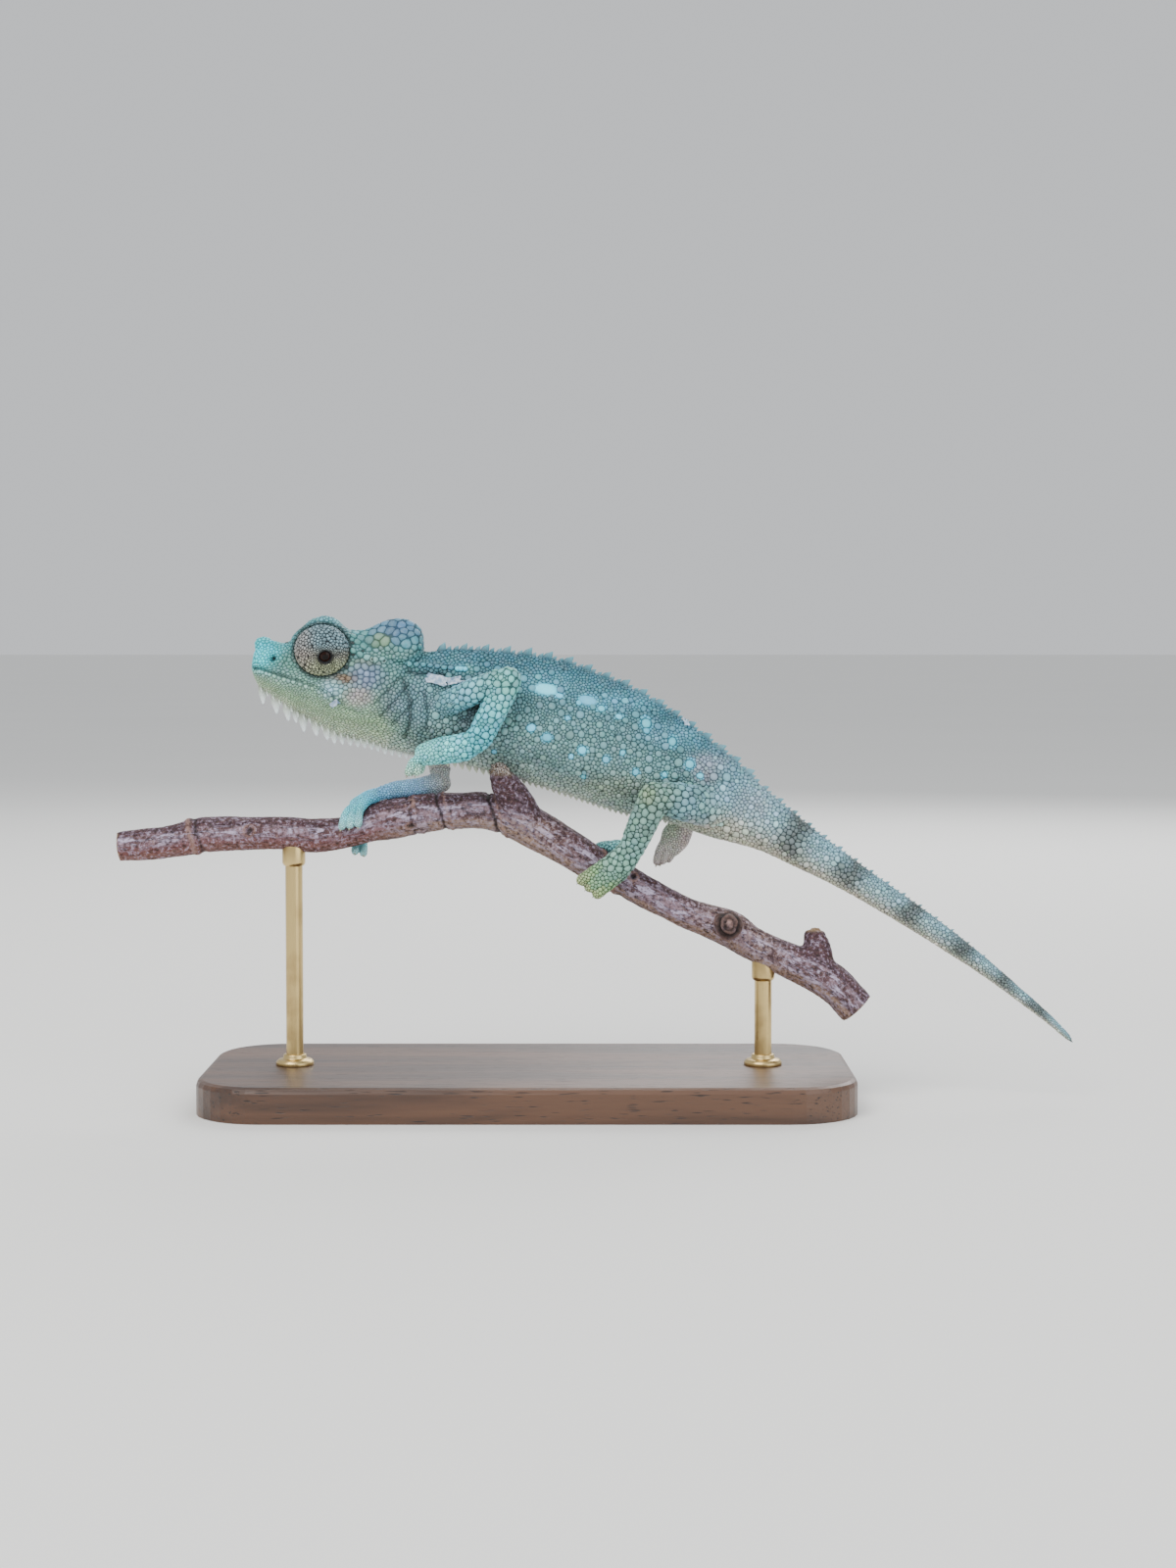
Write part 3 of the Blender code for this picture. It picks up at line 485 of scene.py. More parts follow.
def bark():
    """The branch's mesh, with its ridges, rings, scars, knot and broken snag, and the masks of its bark."""
    shape = bmesh.new()
    upright = (0.0, 1.0, 0.0)
    tube(shape, BRANCH, 40, upright, 6, -BARK_INSET, flat=True)
    tube(shape, SNAG, 28, upright, 6, -BARK_INSET)
    tube(shape, KNOT, 28, (1.0, 0.0, 0.0), 5, -BARK_INSET)
    tube(shape, SPUR, 24, upright, 6, -BARK_INSET)
    made = fused("branch_bark", shape, BRANCH_VOXEL, 2)
    points, normals = read(made), read(made, "normal")
    x, y, z = points.T
    grain, share = grain_of(points)
    on_main = ramp(share, 1.25, 1.05)
    stretched = grain * (1.0, 1.0, GRAIN_STRETCH)
    ridges = clouds(stretched, 0.95, 3.0) * 0.14 + clouds(stretched, 0.42, 5.0) * 0.08
    lumps = clouds(points, 4.5, 8.0) * 0.16
    grit = clouds(points, 0.6, 13.0) * 0.06
    lift = ridges + lumps + grit - 0.05
    pressed = np.zeros(len(points))
    for place, height, width in BRANCH_RINGS:
        wavy = x - place + 0.27 * grain[:, 1] + 0.25 * clouds(points, 1.6, place)
        pressed += on_main * height * (bell(wavy, 0.0, width) - 0.6 * bell(wavy, 1.2, width))
    from_knot = np.hypot((x - KNOT_FACE[0]) / KNOT_SIZE[0], (z - KNOT_FACE[1]) / KNOT_SIZE[1])
    from_knot += 0.08 * clouds(points, 1.2, 17.0)
    facing = ramp(y, -2.2, -3.2) * (from_knot < 1.9)
    for ring, height, width in KNOT_RINGS:
        lift += facing * height * bell(from_knot, ring, width)
    for scar in SCARS:
        apart = np.linalg.norm(points - scar, axis=1)
        pressed += 0.22 * bell(apart, 0.9, 0.3) - 0.35 * ramp(apart, 0.9, 0.2)
    lift += pressed
    snag_top = broken_top(points, *SNAG_TOP)
    lift += snag_top * (0.5 * clouds(points, 0.8, 21.0) - 0.4)
    spur_top = broken_top(points, *SPUR_TOP)
    lift += spur_top * (0.3 * clouds(points, 0.7, 31.0) - 0.2)
    from_end = grain[:, 2].max() - grain[:, 2]
    ends = ramp(grain[:, 2], *SAWN_EDGE) + ramp(from_end, *SAWN_EDGE)
    move(made, points + normals * (lift * (1.0 - np.clip(ends, 0.0, 1.0)))[:, None])
    sawn = np.clip(ends * (share < 0.93) + snag_top * 0.7 + spur_top * 0.8, 0.0, 1.0)
    # Grooves and the dips between the ridges, painted dark as shade.
    groove_shade = np.clip(ramp(pressed, -0.05, -0.2) + 0.3 * ramp(ridges, -0.06, -0.15), 0.0, 1.0)
    reddish = ramp(x, -30.0, -42.0) * ramp(z - np.interp(x, *BRANCH_LINE), 1.0, -1.5)
    paint(made, "bark masks", np.stack([reddish, groove_shade, sawn], 1))
    speckled = bell(x, -16.0, 8.0) * ramp(z, 50.5, 47.5) + 0.5 * ramp(x, 12.0, 21.0) * ramp(x, 36.0, 28.0)
    knot = bell(from_knot, 0.88, 0.24) + 0.8 * bell(from_knot, 0.45, 0.14)
    knot += 0.7 * ramp(clouds(points, 0.7, 19.0), 0.1, 0.4) * (from_knot < 0.5)
    paint(made, "bark patches", np.stack([speckled, facing * np.clip(knot, 0.0, 1.0), snag_top], 1))
    rim = np.maximum(ramp(pressed, 0.08, 0.2), facing * ramp(from_knot, 1.35, 1.15))
    above, below = ramp(grain[:, 1], 0.8, 2.9), ramp(grain[:, 1], -0.2, -2.6)
    paint(made, "bark zones", np.stack([above, below, rim], 1))
    keep_vector(made, "grain", stretched)
    made.transform(Matrix.Scale(MM, 4))
    return made


def bark_finish():
    made = Finish("flaking bark", {"Specular IOR Level": 0.25})
    grain = made.add("Attribute", {"attribute_name": "grain"}, {}, output="Vector")
    reddish, groove_shade, sawn = made.parts("bark masks")
    speckled, knot, broken = made.parts("bark patches")
    top, low, rim = made.parts("bark zones")
    place = made.place()
    patches = made.cloud(made.scaled(grain, (1.0, 1.0, 3.0)), 0.5, 6.0, 0.62, 0.8)
    ragged = made.cloud(made.scaled(grain, (1.0, 1.0, 2.0)), 1.2, 6.0, 0.7, 0.6)
    lines = made.cloud(grain, 2.6, 5.0, 0.65, 0.3)
    fine = made.cloud(place, 1500.0, 5.0, 0.7)
    specks = made.cloud(place, 4200.0, 3.0)
    shade = made.blend(patches.within(0.42, 0.56), BARK_BROWN, BARK_MAUVE)
    underside = made.blend(fine, BARK_PINK, BARK_BEIGE)
    shade = made.blend((low + ragged - 0.5).within(0.25, 0.75) * 0.85, shade, underside)
    bloom = ragged.within(0.5, 0.56) * (1.0 - low * 0.45) * (1.0 - reddish * 0.6)
    shade = made.blend(bloom * 0.9, shade, BARK_BLOOM)
    shade = made.blend((top + ragged - 0.5).within(0.2, 0.5) * 0.85, shade, BARK_MAROON)
    shade = made.blend(reddish * (1.0 - bloom * 0.5) * 0.8, shade, made.blend(fine, BARK_RED, BARK_RUST))
    shade = made.blend(lines.within(0.43, 0.38) * (0.3 + 0.6 * low), shade, BARK_DARK)
    shade = made.blend(speckled * fine.within(0.45, 0.55) * 0.8, shade, BARK_BEIGE)
    shade = made.blend(fine.within(0.53, 0.6) * 0.5, shade, BARK_BLOOM)
    shade = made.blend(fine.within(0.48, 0.38) * 0.7, shade, BARK_DARK)
    shade = made.blend(specks.within(0.6, 0.64) * 0.35, shade, BARK_BEIGE)
    shade = made.blend(rim * fine.within(0.3, 0.5) * 0.75, shade, BARK_PINK)
    # Painted shade in the grooves.
    shade = made.blend(groove_shade * 0.85, shade, BARK_DARK)
    rings = made.cloud(made.scaled(grain, (2.2, 2.2, 0.0)), 1.0, 3.0)
    shade = made.blend(sawn, shade, made.blend(rings.within(0.3, 0.7), END_WOOD, END_WOOD_RINGS))
    shade = made.blend(broken * fine.within(0.42, 0.5), shade, SNAG_DARK)
    shade = made.blend(broken * specks.within(0.5, 0.54) * 0.8, shade, SNAG_PALE)
    shade = made.blend(knot, shade, BARK_DARK)
    height = lines * 0.3 + fine * 0.5 + bloom * 0.4 - groove_shade * 0.2
    return made.done(shade, height, 0.0003, 0.62 + 0.24 * fine)


branch = finished("branch_bark", bark(), bark_finish())
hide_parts("perch")

# The body
# The animal's slim body under its scales is soft skin drawn over trunk, legs and feet in one piece. It is
# lofted from the solids' stations, fused, smoothed and pressed into its folds, mouth and nostrils.

SNOUT_POLE = (-59.88, 75.0)
# Stations of the trunk: the back's x and z, the belly's x and z, the half width, and four shares that
# shape the section at the roof, the upper flank, the lower flank and the keel.
HEAD = (
    (-59.6, 76.6, -59.4, 73.3, 1.5, 1.1, 1.1, 1.0, 0.9),
    (-59.2, 78.2, -58.7, 71.9, 2.5, 1.2, 1.1, 1.0, 0.8),
    (-57.9, 79.2, -56.9, 70.5, 3.1, 1.2, 1.1, 0.95, 0.7),
    (-55.7, 79.2, -54.7, 69.0, 3.5, 1.3, 1.1, 0.95, 0.65),
    (-53.5, 79.8, -52.3, 67.4, 3.9, 1.5, 1.1, 0.95, 0.6),
    (-50.8, 81.0, -49.4, 65.7, 4.4, 1.6, 1.0, 0.95, 0.6),
    (-47.7, 82.0, -46.3, 64.0, 4.9, 1.6, 0.95, 1.0, 0.6),
    (-44.3, 82.0, -43.3, 63.0, 5.3, 1.4, 0.95, 1.0, 0.6),
    (-40.6, 81.6, -40.2, 62.3, 5.7, 0.9, 0.95, 1.0, 0.65),
    (-36.9, 80.9, -38.2, 61.7, 5.6, 0.7, 0.95, 1.0, 0.7),
    (-33.4, 79.5, -36.8, 61.2, 5.3, 0.65, 0.92, 1.0, 0.75),
)
NECK = (
    (-30.0, 78.1, -35.5, 60.9, 5.0, 0.65, 0.9, 1.0, 0.8),
    (-27.6, 78.3, -31.7, 60.0, 4.9, 0.6, 0.88, 1.05, 0.8),
)
TORSO = (
    (-25.3, 78.5, -27.8, 59.1, 5.0, 0.6, 0.85, 1.1, 0.8),
    (-20.5, 78.4, -22.5, 58.1, 5.5, 0.6, 0.85, 1.1, 0.8),
    (-15.4, 77.9, -17.4, 56.7, 6.1, 0.6, 0.85, 1.1, 0.8),
    (-10.3, 77.3, -12.3, 55.3, 6.6, 0.6, 0.85, 1.1, 0.8),
    (-5.2, 76.2, -7.6, 53.8, 6.8, 0.6, 0.85, 1.1, 0.8),
    (-0.1, 74.3, -2.8, 52.2, 6.7, 0.6, 0.85, 1.1, 0.8),
    (5.0, 72.2, 1.6, 50.7, 6.3, 0.6, 0.85, 1.08, 0.8),
    (10.1, 69.4, 6.4, 49.4, 5.6, 0.65, 0.87, 1.05, 0.85),
    (14.9, 66.2, 10.8, 48.7, 4.9, 0.7, 0.9, 1.03, 0.9),
    (18.9, 63.1, 15.2, 47.2, 4.3, 0.75, 0.92, 1.0, 0.95),
    (23.4, 59.5, 19.3, 45.7, 3.8, 0.8, 0.95, 1.0, 1.0),
)
TAIL = (
    (28.0, 55.3, 23.6, 44.6, 3.3, 0.85, 0.97, 1.0, 1.0),
    (32.3, 51.6, 28.6, 43.1, 2.9, 0.9, 1.0, 1.0, 1.0),
    (38.1, 46.9, 34.3, 40.4, 2.4, 0.9, 1.0, 1.0, 1.0),
    (43.3, 43.0, 40.0, 37.7, 2.1, 0.95, 1.0, 1.0, 1.0),
    (49.2, 38.7, 46.2, 34.3, 1.85, 0.95, 1.0, 1.0, 1.0),
    (56.2, 33.8, 53.6, 29.9, 1.65, 0.95, 1.0, 1.0, 1.0),
    (62.0, 29.4, 59.7, 26.1, 1.45, 1.0, 1.0, 1.0, 1.0),
    (67.9, 24.6, 66.0, 22.1, 1.2, 1.0, 1.0, 1.0, 1.0),
    (73.9, 19.3, 72.5, 17.5, 0.95, 1.0, 1.0, 1.0, 1.0),
    (79.0, 14.7, 77.9, 13.5, 0.65, 1.0, 1.0, 1.0, 1.0),
    (82.4, 11.1, 81.7, 10.4, 0.4, 1.0, 1.0, 1.0, 1.0),
)
TAIL_POLE = (83.1, 9.6)
# The raised helmet behind the eyes, in stations like the trunk's.
CASQUE = (
    (-41.6, 81.6, -41.6, 76.5, 2.4, 0.8, 1.0, 1.0, 1.0),
    (-39.6, 82.1, -39.6, 75.5, 3.2, 0.75, 1.0, 1.0, 1.0),
    (-38.0, 82.9, -38.0, 75.0, 3.7, 0.65, 0.95, 1.05, 1.0),
    (-36.2, 83.6, -36.2, 74.5, 4.0, 0.6, 0.9, 1.1, 1.0),
    (-34.1, 83.8, -34.1, 74.5, 4.1, 0.55, 0.88, 1.1, 1.0),
    (-32.3, 83.5, -32.5, 74.5, 3.9, 0.6, 0.9, 1.1, 1.0),
    (-31.0, 82.6, -31.6, 75.0, 3.3, 0.75, 0.95, 1.05, 1.0),
    (-30.3, 81.4, -31.0, 76.0, 2.5, 0.9, 1.0, 1.0, 1.0),
)
CASQUE_FRONT = (-42.6, 79.8)
CASQUE_REAR = (-30.1, 79.4)
SHARE_DEPTHS = np.array((0.0, 0.07, 0.25, 0.5, 0.75, 0.93, 1.0))
# Egg shapes: their middles and half lengths.
SNOUT_KNOBS = (((-57.8, 0.0, 79.1), (1.55, 1.6, 1.4)), ((-56.0, 0.0, 78.5), (1.7, 1.5, 1.2)))
ORBIT = ((-47.4, 2.1, 78.3), (5.9, 3.1, 5.7))
EYE_CENTRE = (-47.3, 4.1, 78.2)
EYE_SIZE = (4.7, 3.5, 4.4)
# Limbs in three lengths, upper, lower and foot: x, y, z, radius in the limb's plane and radius across it.
ARM_LEFT = (
    ((-27.6, -3.0, 68.0, 2.5, 2.2), (-21.8, -7.2, 70.9, 2.35, 2.2), (-16.7, -8.4, 72.9, 2.4, 2.2)),
    ((-15.2, -8.8, 73.3, 2.55, 2.3), (-17.6, -8.8, 68.3, 2.5, 2.3), (-20.3, -8.4, 63.0, 2.4, 2.1)),
    (
        (-20.4, -8.3, 62.9, 2.2, 2.0),
        (-23.2, -8.0, 61.6, 2.55, 2.0),
        (-26.6, -7.6, 61.1, 2.5, 1.9),
        (-29.6, -7.2, 60.4, 2.1, 1.7),
    ),
)
ARM_RIGHT = (
    ((-25.2, 3.2, 65.2, 2.3, 2.1), (-27.9, 6.0, 60.6, 2.1, 2.0), (-27.6, 4.8, 56.9, 2.1, 2.0)),
    (
        (-27.3, 4.2, 55.1, 2.1, 2.0),
        (-30.9, 2.6, 54.2, 2.0, 1.9),
        (-35.0, 1.2, 53.9, 1.75, 1.8),
        (-37.6, 0.4, 53.4, 1.5, 1.7),
    ),
    ((-37.4, 0.4, 53.4, 1.4, 1.7), (-39.8, 0.1, 52.6, 1.45, 2.0), (-41.9, 0.0, 51.6, 1.2, 1.9)),
)
LEG_LEFT = (
    ((21.0, -1.0, 50.4, 3.4, 2.6), (15.4, -5.4, 52.0, 3.4, 2.8), (11.3, -7.4, 53.1, 2.9, 2.6)),
    ((9.7, -8.1, 53.4, 2.8, 2.6), (7.6, -6.9, 48.4, 2.65, 2.4), (5.6, -5.6, 43.8, 2.4, 2.1)),
    (
        (5.5, -5.5, 43.6, 2.4, 2.0),
        (3.3, -5.2, 41.2, 2.75, 1.7),
        (1.3, -4.9, 39.5, 2.5, 1.5),
        (-0.3, -4.6, 38.3, 2.0, 1.2),
    ),
)
LEG_RIGHT = (
    ((21.2, 1.0, 50.4, 3.4, 2.6), (17.2, 6.0, 52.2, 3.2, 2.8), (15.0, 8.0, 53.1, 2.8, 2.6)),
    ((14.2, 8.7, 53.2, 2.7, 2.6), (14.9, 8.6, 49.8, 2.4, 2.3), (14.9, 8.3, 47.0, 2.3, 2.1)),
    ((14.7, 8.3, 46.9, 2.6, 1.9), (13.7, 8.1, 45.0, 2.8, 1.7), (12.9, 8.0, 43.4, 2.2, 1.5)),
)
# Bundles of toes: how many, the middle line, and the step from toe to toe at the root and the tips.
TOES = (
    (
        (
            2,
            ((-29.0, -8.1, 60.6), (-30.9, -8.0, 59.4), (-31.6, -7.8, 57.5)),
            (0.3, 0.0, 0.8),
            (1.15, 0.1, 0.1),
        ),
        (
            3,
            ((-28.6, -6.2, 60.3), (-30.6, -5.9, 59.2), (-31.4, -5.7, 57.6)),
            (0.4, 0.1, 0.5),
            (0.9, 0.1, 0.1),
        ),
    ),
    (
        (
            3,
            ((-40.6, -0.7, 52.0), (-42.2, -2.7, 50.4), (-42.7, -3.6, 48.0)),
            (0.9, 0.0, 0.3),
            (1.45, 0.0, 0.2),
        ),
        (
            2,
            (
                (-40.6, 1.2, 52.0),
                (-41.6, 3.3, 49.8),
                (-41.7, 3.9, 46.8),
                (-41.6, 2.6, 44.1),
                (-41.5, 0.8, 43.0),
            ),
            (1.3, 0.0, 0.3),
            (1.5, 0.0, -0.3),
        ),
    ),
    (
        (
            3,
            ((3.4, -5.3, 41.2), (0.9, -5.0, 39.3), (-1.4, -4.2, 37.5)),
            (1.15, 0.0, -1.35),
            (1.35, 0.0, -1.15),
        ),
        (
            2,
            ((4.9, -3.6, 43.5), (2.9, -0.8, 44.4), (0.9, 2.0, 43.7), (-0.2, 3.7, 41.8)),
            (0.9, 0.0, 0.7),
            (1.3, 0.0, -0.6),
        ),
    ),
    (
        (
            3,
            ((14.6, 9.2, 45.6), (13.0, 9.0, 43.2), (11.6, 8.7, 41.0)),
            (1.2, 0.1, 0.4),
            (0.85, 0.1, 0.25),
        ),
        (
            2,
            ((12.9, 7.4, 45.6), (11.5, 7.3, 43.0), (10.9, 7.3, 41.0)),
            (1.1, 0.1, 0.2),
            (0.85, 0.1, 0.1),
        ),
    ),
)
LIMBS = (ARM_LEFT, ARM_RIGHT, LEG_LEFT, LEG_RIGHT)
TOE_RADIUS = 0.92
TOE_TIPS = (1.0, 0.82, 1.15, 0.95)  # a toe's radius at its tip, for each limb
COAT_DEPTH = 0.22  # the skin lies this far inside the solids, for its scales
TOE_COAT = 0.16
TAIL_FILL = 0.08  # the thin end of the tail is fuller by up to this instead
SKIN_VOXEL = 0.32
TRUNK_SIDES = 56
CASQUE_SIDES = 40
LIMB_SIDES = 28
TOE_SIDES = 20
BALL_SIDES = 48
TRUNK_STEPS = 4
POINTS_AT_ONCE = 20000  # to spare memory where each is compared with every row of the trunk
# Lines along the body's side, as x and z, with the height and the width of the fold that each raises or
# sinks on both sides of the animal.
FOLDS = (
    ((-43.5, 79.0), (-40.5, 77.3), (-36.7, 76.7), (-33.0, 77.2), (-31.0, 78.6), 0.5, 0.7),
    ((-32.5, 75.9), (-29.5, 75.6), (-26.0, 75.1), (-22.4, 74.8), 0.65, 0.7),
    ((-32.8, 74.6), (-29.5, 74.3), (-26.5, 74.0), -0.6, 0.45),
    ((-33.5, 73.5), (-32.4, 70.0), (-32.2, 66.5), (-33.2, 63.2), -0.5, 0.5),
    ((-31.6, 72.0), (-30.6, 69.0), (-30.6, 65.5), (-31.4, 62.4), 0.34, 0.55),
    ((-29.8, 70.8), (-29.2, 67.8), (-29.4, 64.5), -0.42, 0.45),
    ((-45.2, 69.4), (-43.6, 68.3), (-41.8, 67.6), -0.25, 0.4),
    ((-44.6, 72.5), (-42.2, 70.8), (-40.4, 68.8), -0.2, 0.45),
    ((-42.6, 74.0), (-39.8, 71.6), (-38.4, 68.8), 0.24, 0.8),
    ((-54.0, 79.3), (-55.6, 78.8), (-56.8, 79.0), 0.22, 0.5),
    ((-22.6, 69.0), (-21.0, 68.6), (-19.2, 68.6), -0.5, 0.6),
    ((-23.5, 66.4), (-21.5, 66.0), (-19.5, 66.4), -0.3, 0.4),
    ((-24.4, 64.6), (-22.4, 64.0), (-20.4, 64.4), -0.26, 0.4),
    ((9.0, 50.6), (12.0, 49.4), (15.0, 49.6), -0.22, 0.5),
    ((-34.2, 73.4), (-36.0, 71.2), (-38.4, 68.9), -0.42, 0.3),
    ((-32.6, 72.2), (-34.6, 69.6), (-37.2, 67.0), -0.42, 0.3),
    ((-30.8, 70.4), (-33.0, 67.6), (-35.4, 65.4), -0.4, 0.3),
    ((-35.6, 74.2), (-37.8, 72.0), (-40.2, 69.6), -0.32, 0.28),
    ((-24.6, 71.6), (-23.4, 69.6), (-22.8, 67.6), -0.28, 0.32),
)
# Where the brow is pressed in or raised on both sides: place, height and width.
BROW = (
    ((-51.2, 2.4, 82.6), -0.45, 1.6),
    ((-46.8, 2.4, 84.2), 0.4, 1.3),
    ((-43.4, 2.4, 82.8), -0.4, 1.3),
)
# Depths of the mouth's line at the first stations, and the station and depth of the nostril.
MOUTH_DEPTHS = (0.5, 0.487, 0.508, 0.503, 0.517, 0.554, 0.607, 0.69)
NOSTRIL = (2.85, 0.235)
LIPS = ((0.6, 0.2), (-0.6, 0.16))  # how far each lip lies above the mouth's line, and its height
HEAD_REAR = -42.0  # the mouth ends in front of this x
SOCKET_FLOOR = 2.2  # the eye sockets are sunk to this half width


def trunk_frame(row):
    """The middle of a station, its unit vectors up and towards the tail, and its half height."""
    back = np.array([row[0], 0.0, row[1]])
    belly = np.array([row[2], 0.0, row[3]])
    height = np.linalg.norm(back - belly)
    up = (back - belly) / height
    return (back + belly) / 2, up, np.cross((0.0, 1.0, 0.0), up), height / 2


def trunk_point(row, depth, side, grow=0.0):
    """A point of the station's outline, at a depth from 0 on the back to 1 on the belly."""
    middle, up, _, half = trunk_frame(row)
    share = np.interp(depth, SHARE_DEPTHS, (row[5], row[5], row[6], 1.0, row[7], row[8], row[8]))
    width = (row[4] * share + grow) * 2.0 * math.sqrt(max(depth * (1.0 - depth), 0.0))
    return middle + up * (half + grow) * (1.0 - 2.0 * depth) + np.array((0.0, side * width, 0.0))


def trunk_ring(row, sides, grow):
    """The station's whole outline."""
    ring = []
    for angle in 2.0 * math.pi * np.arange(sides) / sides:
        side = 1 if math.sin(angle) >= 0.0 else -1
        ring.append(trunk_point(row, (1.0 - math.cos(angle)) / 2.0, side, grow))
    return ring


STATIONS = HEAD + NECK + TORSO + TAIL
TRUNK_ROWS = spline(STATIONS, TRUNK_STEPS)
NECK_START = len(HEAD)
TORSO_START = NECK_START + len(NECK)
TAIL_START = TORSO_START + len(TORSO)
TAIL_END = len(STATIONS) - 1


def station(place):
    """The trunk's row at a place counted in stations from the snout."""
    at = place * TRUNK_STEPS
    low = min(int(at), len(TRUNK_ROWS) - 2)
    return TRUNK_ROWS[low] + (TRUNK_ROWS[low + 1] - TRUNK_ROWS[low]) * (at - low)


def ball(shape, centre, size):
    """Adds an egg shape of the given half lengths."""
    made = bmesh.ops.create_uvsphere(
        shape, u_segments=BALL_SIDES, v_segments=BALL_SIDES * 2 // 3, radius=1.0
    )["verts"]
    bmesh.ops.scale(shape, verts=made, vec=size)
    bmesh.ops.translate(shape, verts=made, vec=centre)


def toe_lines(limb):
    """The middle lines of all the toes of a limb."""
    made = []
    for count, line, root_step, tip_step in TOES[limb]:
        line = np.array(line)
        shares = np.linspace(0.0, 1.0, len(line))[:, None]
        steps = np.array(root_step) * (1.0 - shares) + np.array(tip_step) * shares
        made += [line + steps * (k - (count - 1) / 2.0) for k in range(count)]
    return made


def toe_rows(limb, line):
    """A toe's rows of x, y, z and radius."""
    return [(*p, r) for p, r in zip(line, np.linspace(TOE_RADIUS, TOE_TIPS[limb], len(line)))]


class Where:
    """Where points lie: the station and depth of the trunk, or the limb and how far down it they are."""

    def __init__(self, points):
        frames = [trunk_frame(row) for row in TRUNK_ROWS]
        middles, ups, ways = (np.array([f[k] for f in frames]) for k in (0, 1, 2))
        halves = np.array([f[3] for f in frames])
        near = np.zeros(len(points), int)
        for start in range(0, len(points), POINTS_AT_ONCE):
            now = slice(start, start + POINTS_AT_ONCE)
            part = points[now, None] - middles
            rise = (part * ups).sum(2)
            over = np.maximum(np.abs(rise) - halves, 0.0)
            near[now] = np.argmin((part * ways).sum(2) ** 2 + over**2, axis=1)
        out = points - middles[near]
        rise = (out * ups[near]).sum(1)
        between = (out * ways[near]).sum(1) / np.linalg.norm(np.gradient(middles, axis=0), axis=1)[near]
        self.station = np.clip((near + np.clip(between, -0.6, 0.6)) / TRUNK_STEPS, 0.0, TAIL_END)
        self.depth = np.clip(0.5 - rise / halves[near] / 2.0, 0.0, 1.0)
        shares = TRUNK_ROWS[:, [5, 5, 6, 4, 7, 8, 8]].copy()
        shares[:, 3] = 1.0
        low = np.clip(np.searchsorted(SHARE_DEPTHS, self.depth) - 1, 0, len(SHARE_DEPTHS) - 2)
        part = (self.depth - SHARE_DEPTHS[low]) / np.diff(SHARE_DEPTHS)[low]
        width = TRUNK_ROWS[near, 4] * (shares[near, low] * (1.0 - part) + shares[near, low + 1] * part)
        trunk_ratio = np.sqrt((rise / halves[near]) ** 2 + (points[:, 1] / width) ** 2)
        self.lie = ways[near]
        places, lies, sizes, limbs, shares, toes = limb_samples()
        ratio = np.full(len(points), np.inf)
        near = np.zeros(len(points), int)
        for group in (np.flatnonzero(~toes), np.flatnonzero(toes)):
            found = group[nearest(points, places[group])]
            found_ratio = np.linalg.norm(points - places[found], axis=1) / sizes[found]
            near = np.where(found_ratio < ratio, found, near)
            ratio = np.minimum(found_ratio, ratio)
        on_limb = ratio < trunk_ratio
        self.limb = np.where(on_limb, limbs[near], -1)
        self.down = np.where(on_limb, shares[near], 0.0)
        self.lie = np.where(on_limb[:, None], lies[near], self.lie)
        self.edge = np.abs(ratio - trunk_ratio)
        self.points = points


def limb_samples():
    """Places, ways and radii down every limb, with its number, how far down, and if they are a toe's."""
    found = []
    for limb, parts in enumerate(LIMBS):
        lines = [(part, k, k + 1.0) for k, part in enumerate(parts)]
        lines += [(toe_rows(limb, line), 2.4, 4.0) for line in toe_lines(limb)]
        for rows, first, last in lines:
            places, ways, radii = courses(rows, 12)
            shares = np.linspace(first, last, len(places))
            of_toe = np.full(len(places), last > 3.5)
            found.append((places, ways, radii.mean(1), np.full(len(places), limb), shares, of_toe))
    return [np.concatenate(parts) for parts in zip(*found)]


def flesh():
    """The whole animal as overlapping closed forms, fused to one skin."""
    shape = bmesh.new()
    insets = np.clip(COAT_DEPTH * (TRUNK_ROWS[:, 4] - 0.6), -TAIL_FILL, COAT_DEPTH)
    rings = [trunk_ring(row, TRUNK_SIDES, -inset) for row, inset in zip(TRUNK_ROWS, insets)]
    loft(shape, rings, [(x, 0.0, z) for x, z in (SNOUT_POLE, TAIL_POLE)])
    rings = [trunk_ring(row, CASQUE_SIDES, -COAT_DEPTH) for row in spline(CASQUE, 5)]
    loft(shape, rings, [(x, 0.0, z) for x, z in (CASQUE_FRONT, CASQUE_REAR)])
    for knob in SNOUT_KNOBS:
        ball(shape, *knob)
    for side in (-1, 1):
        ball(shape, (ORBIT[0][0], side * ORBIT[0][1], ORBIT[0][2]), [s - COAT_DEPTH for s in ORBIT[1]])
    for limb, parts in enumerate(LIMBS):
        for rows in parts:
            tube(shape, rows, LIMB_SIDES, (0.0, 1.0, 0.0), 6, -COAT_DEPTH)
        for line in toe_lines(limb):
            flow = line[-1] - line[0]
            across = (1.0, 0.0, 0.0) if abs(flow[1]) > abs(flow[0]) else (0.0, 1.0, 0.0)
            tube(shape, toe_rows(limb, line), TOE_SIDES, across, 6, -TOE_COAT)
    return fused("skin", shape, SKIN_VOXEL, 2)


def apart_from(points, line):
    """The distance of each point from a line, both flat or both in space."""
    tree = tree_of([(*place, 0.0)[:3] for place in spline(line, 10)])
    return np.array([tree.find((*p, 0.0)[:3])[2] for p in points])


def raise_along(points, line, height, width):
    """How far a soft fold along a line lifts points."""
    return height * bell(apart_from(points, line), 0.0, width)


def from_nostril(points, side):
    """The distance of each point from a nostril."""
    return np.linalg.norm(points - trunk_point(station(NOSTRIL[0]), NOSTRIL[1], side), axis=1)


def from_eye(points):
    """How far points lie from the middle of an eye's turret seen from the side, as a share of its size."""
    x, _, z = points.T
    return np.hypot((x - EYE_CENTRE[0]) / EYE_SIZE[0], (z - EYE_CENTRE[2]) / EYE_SIZE[2])


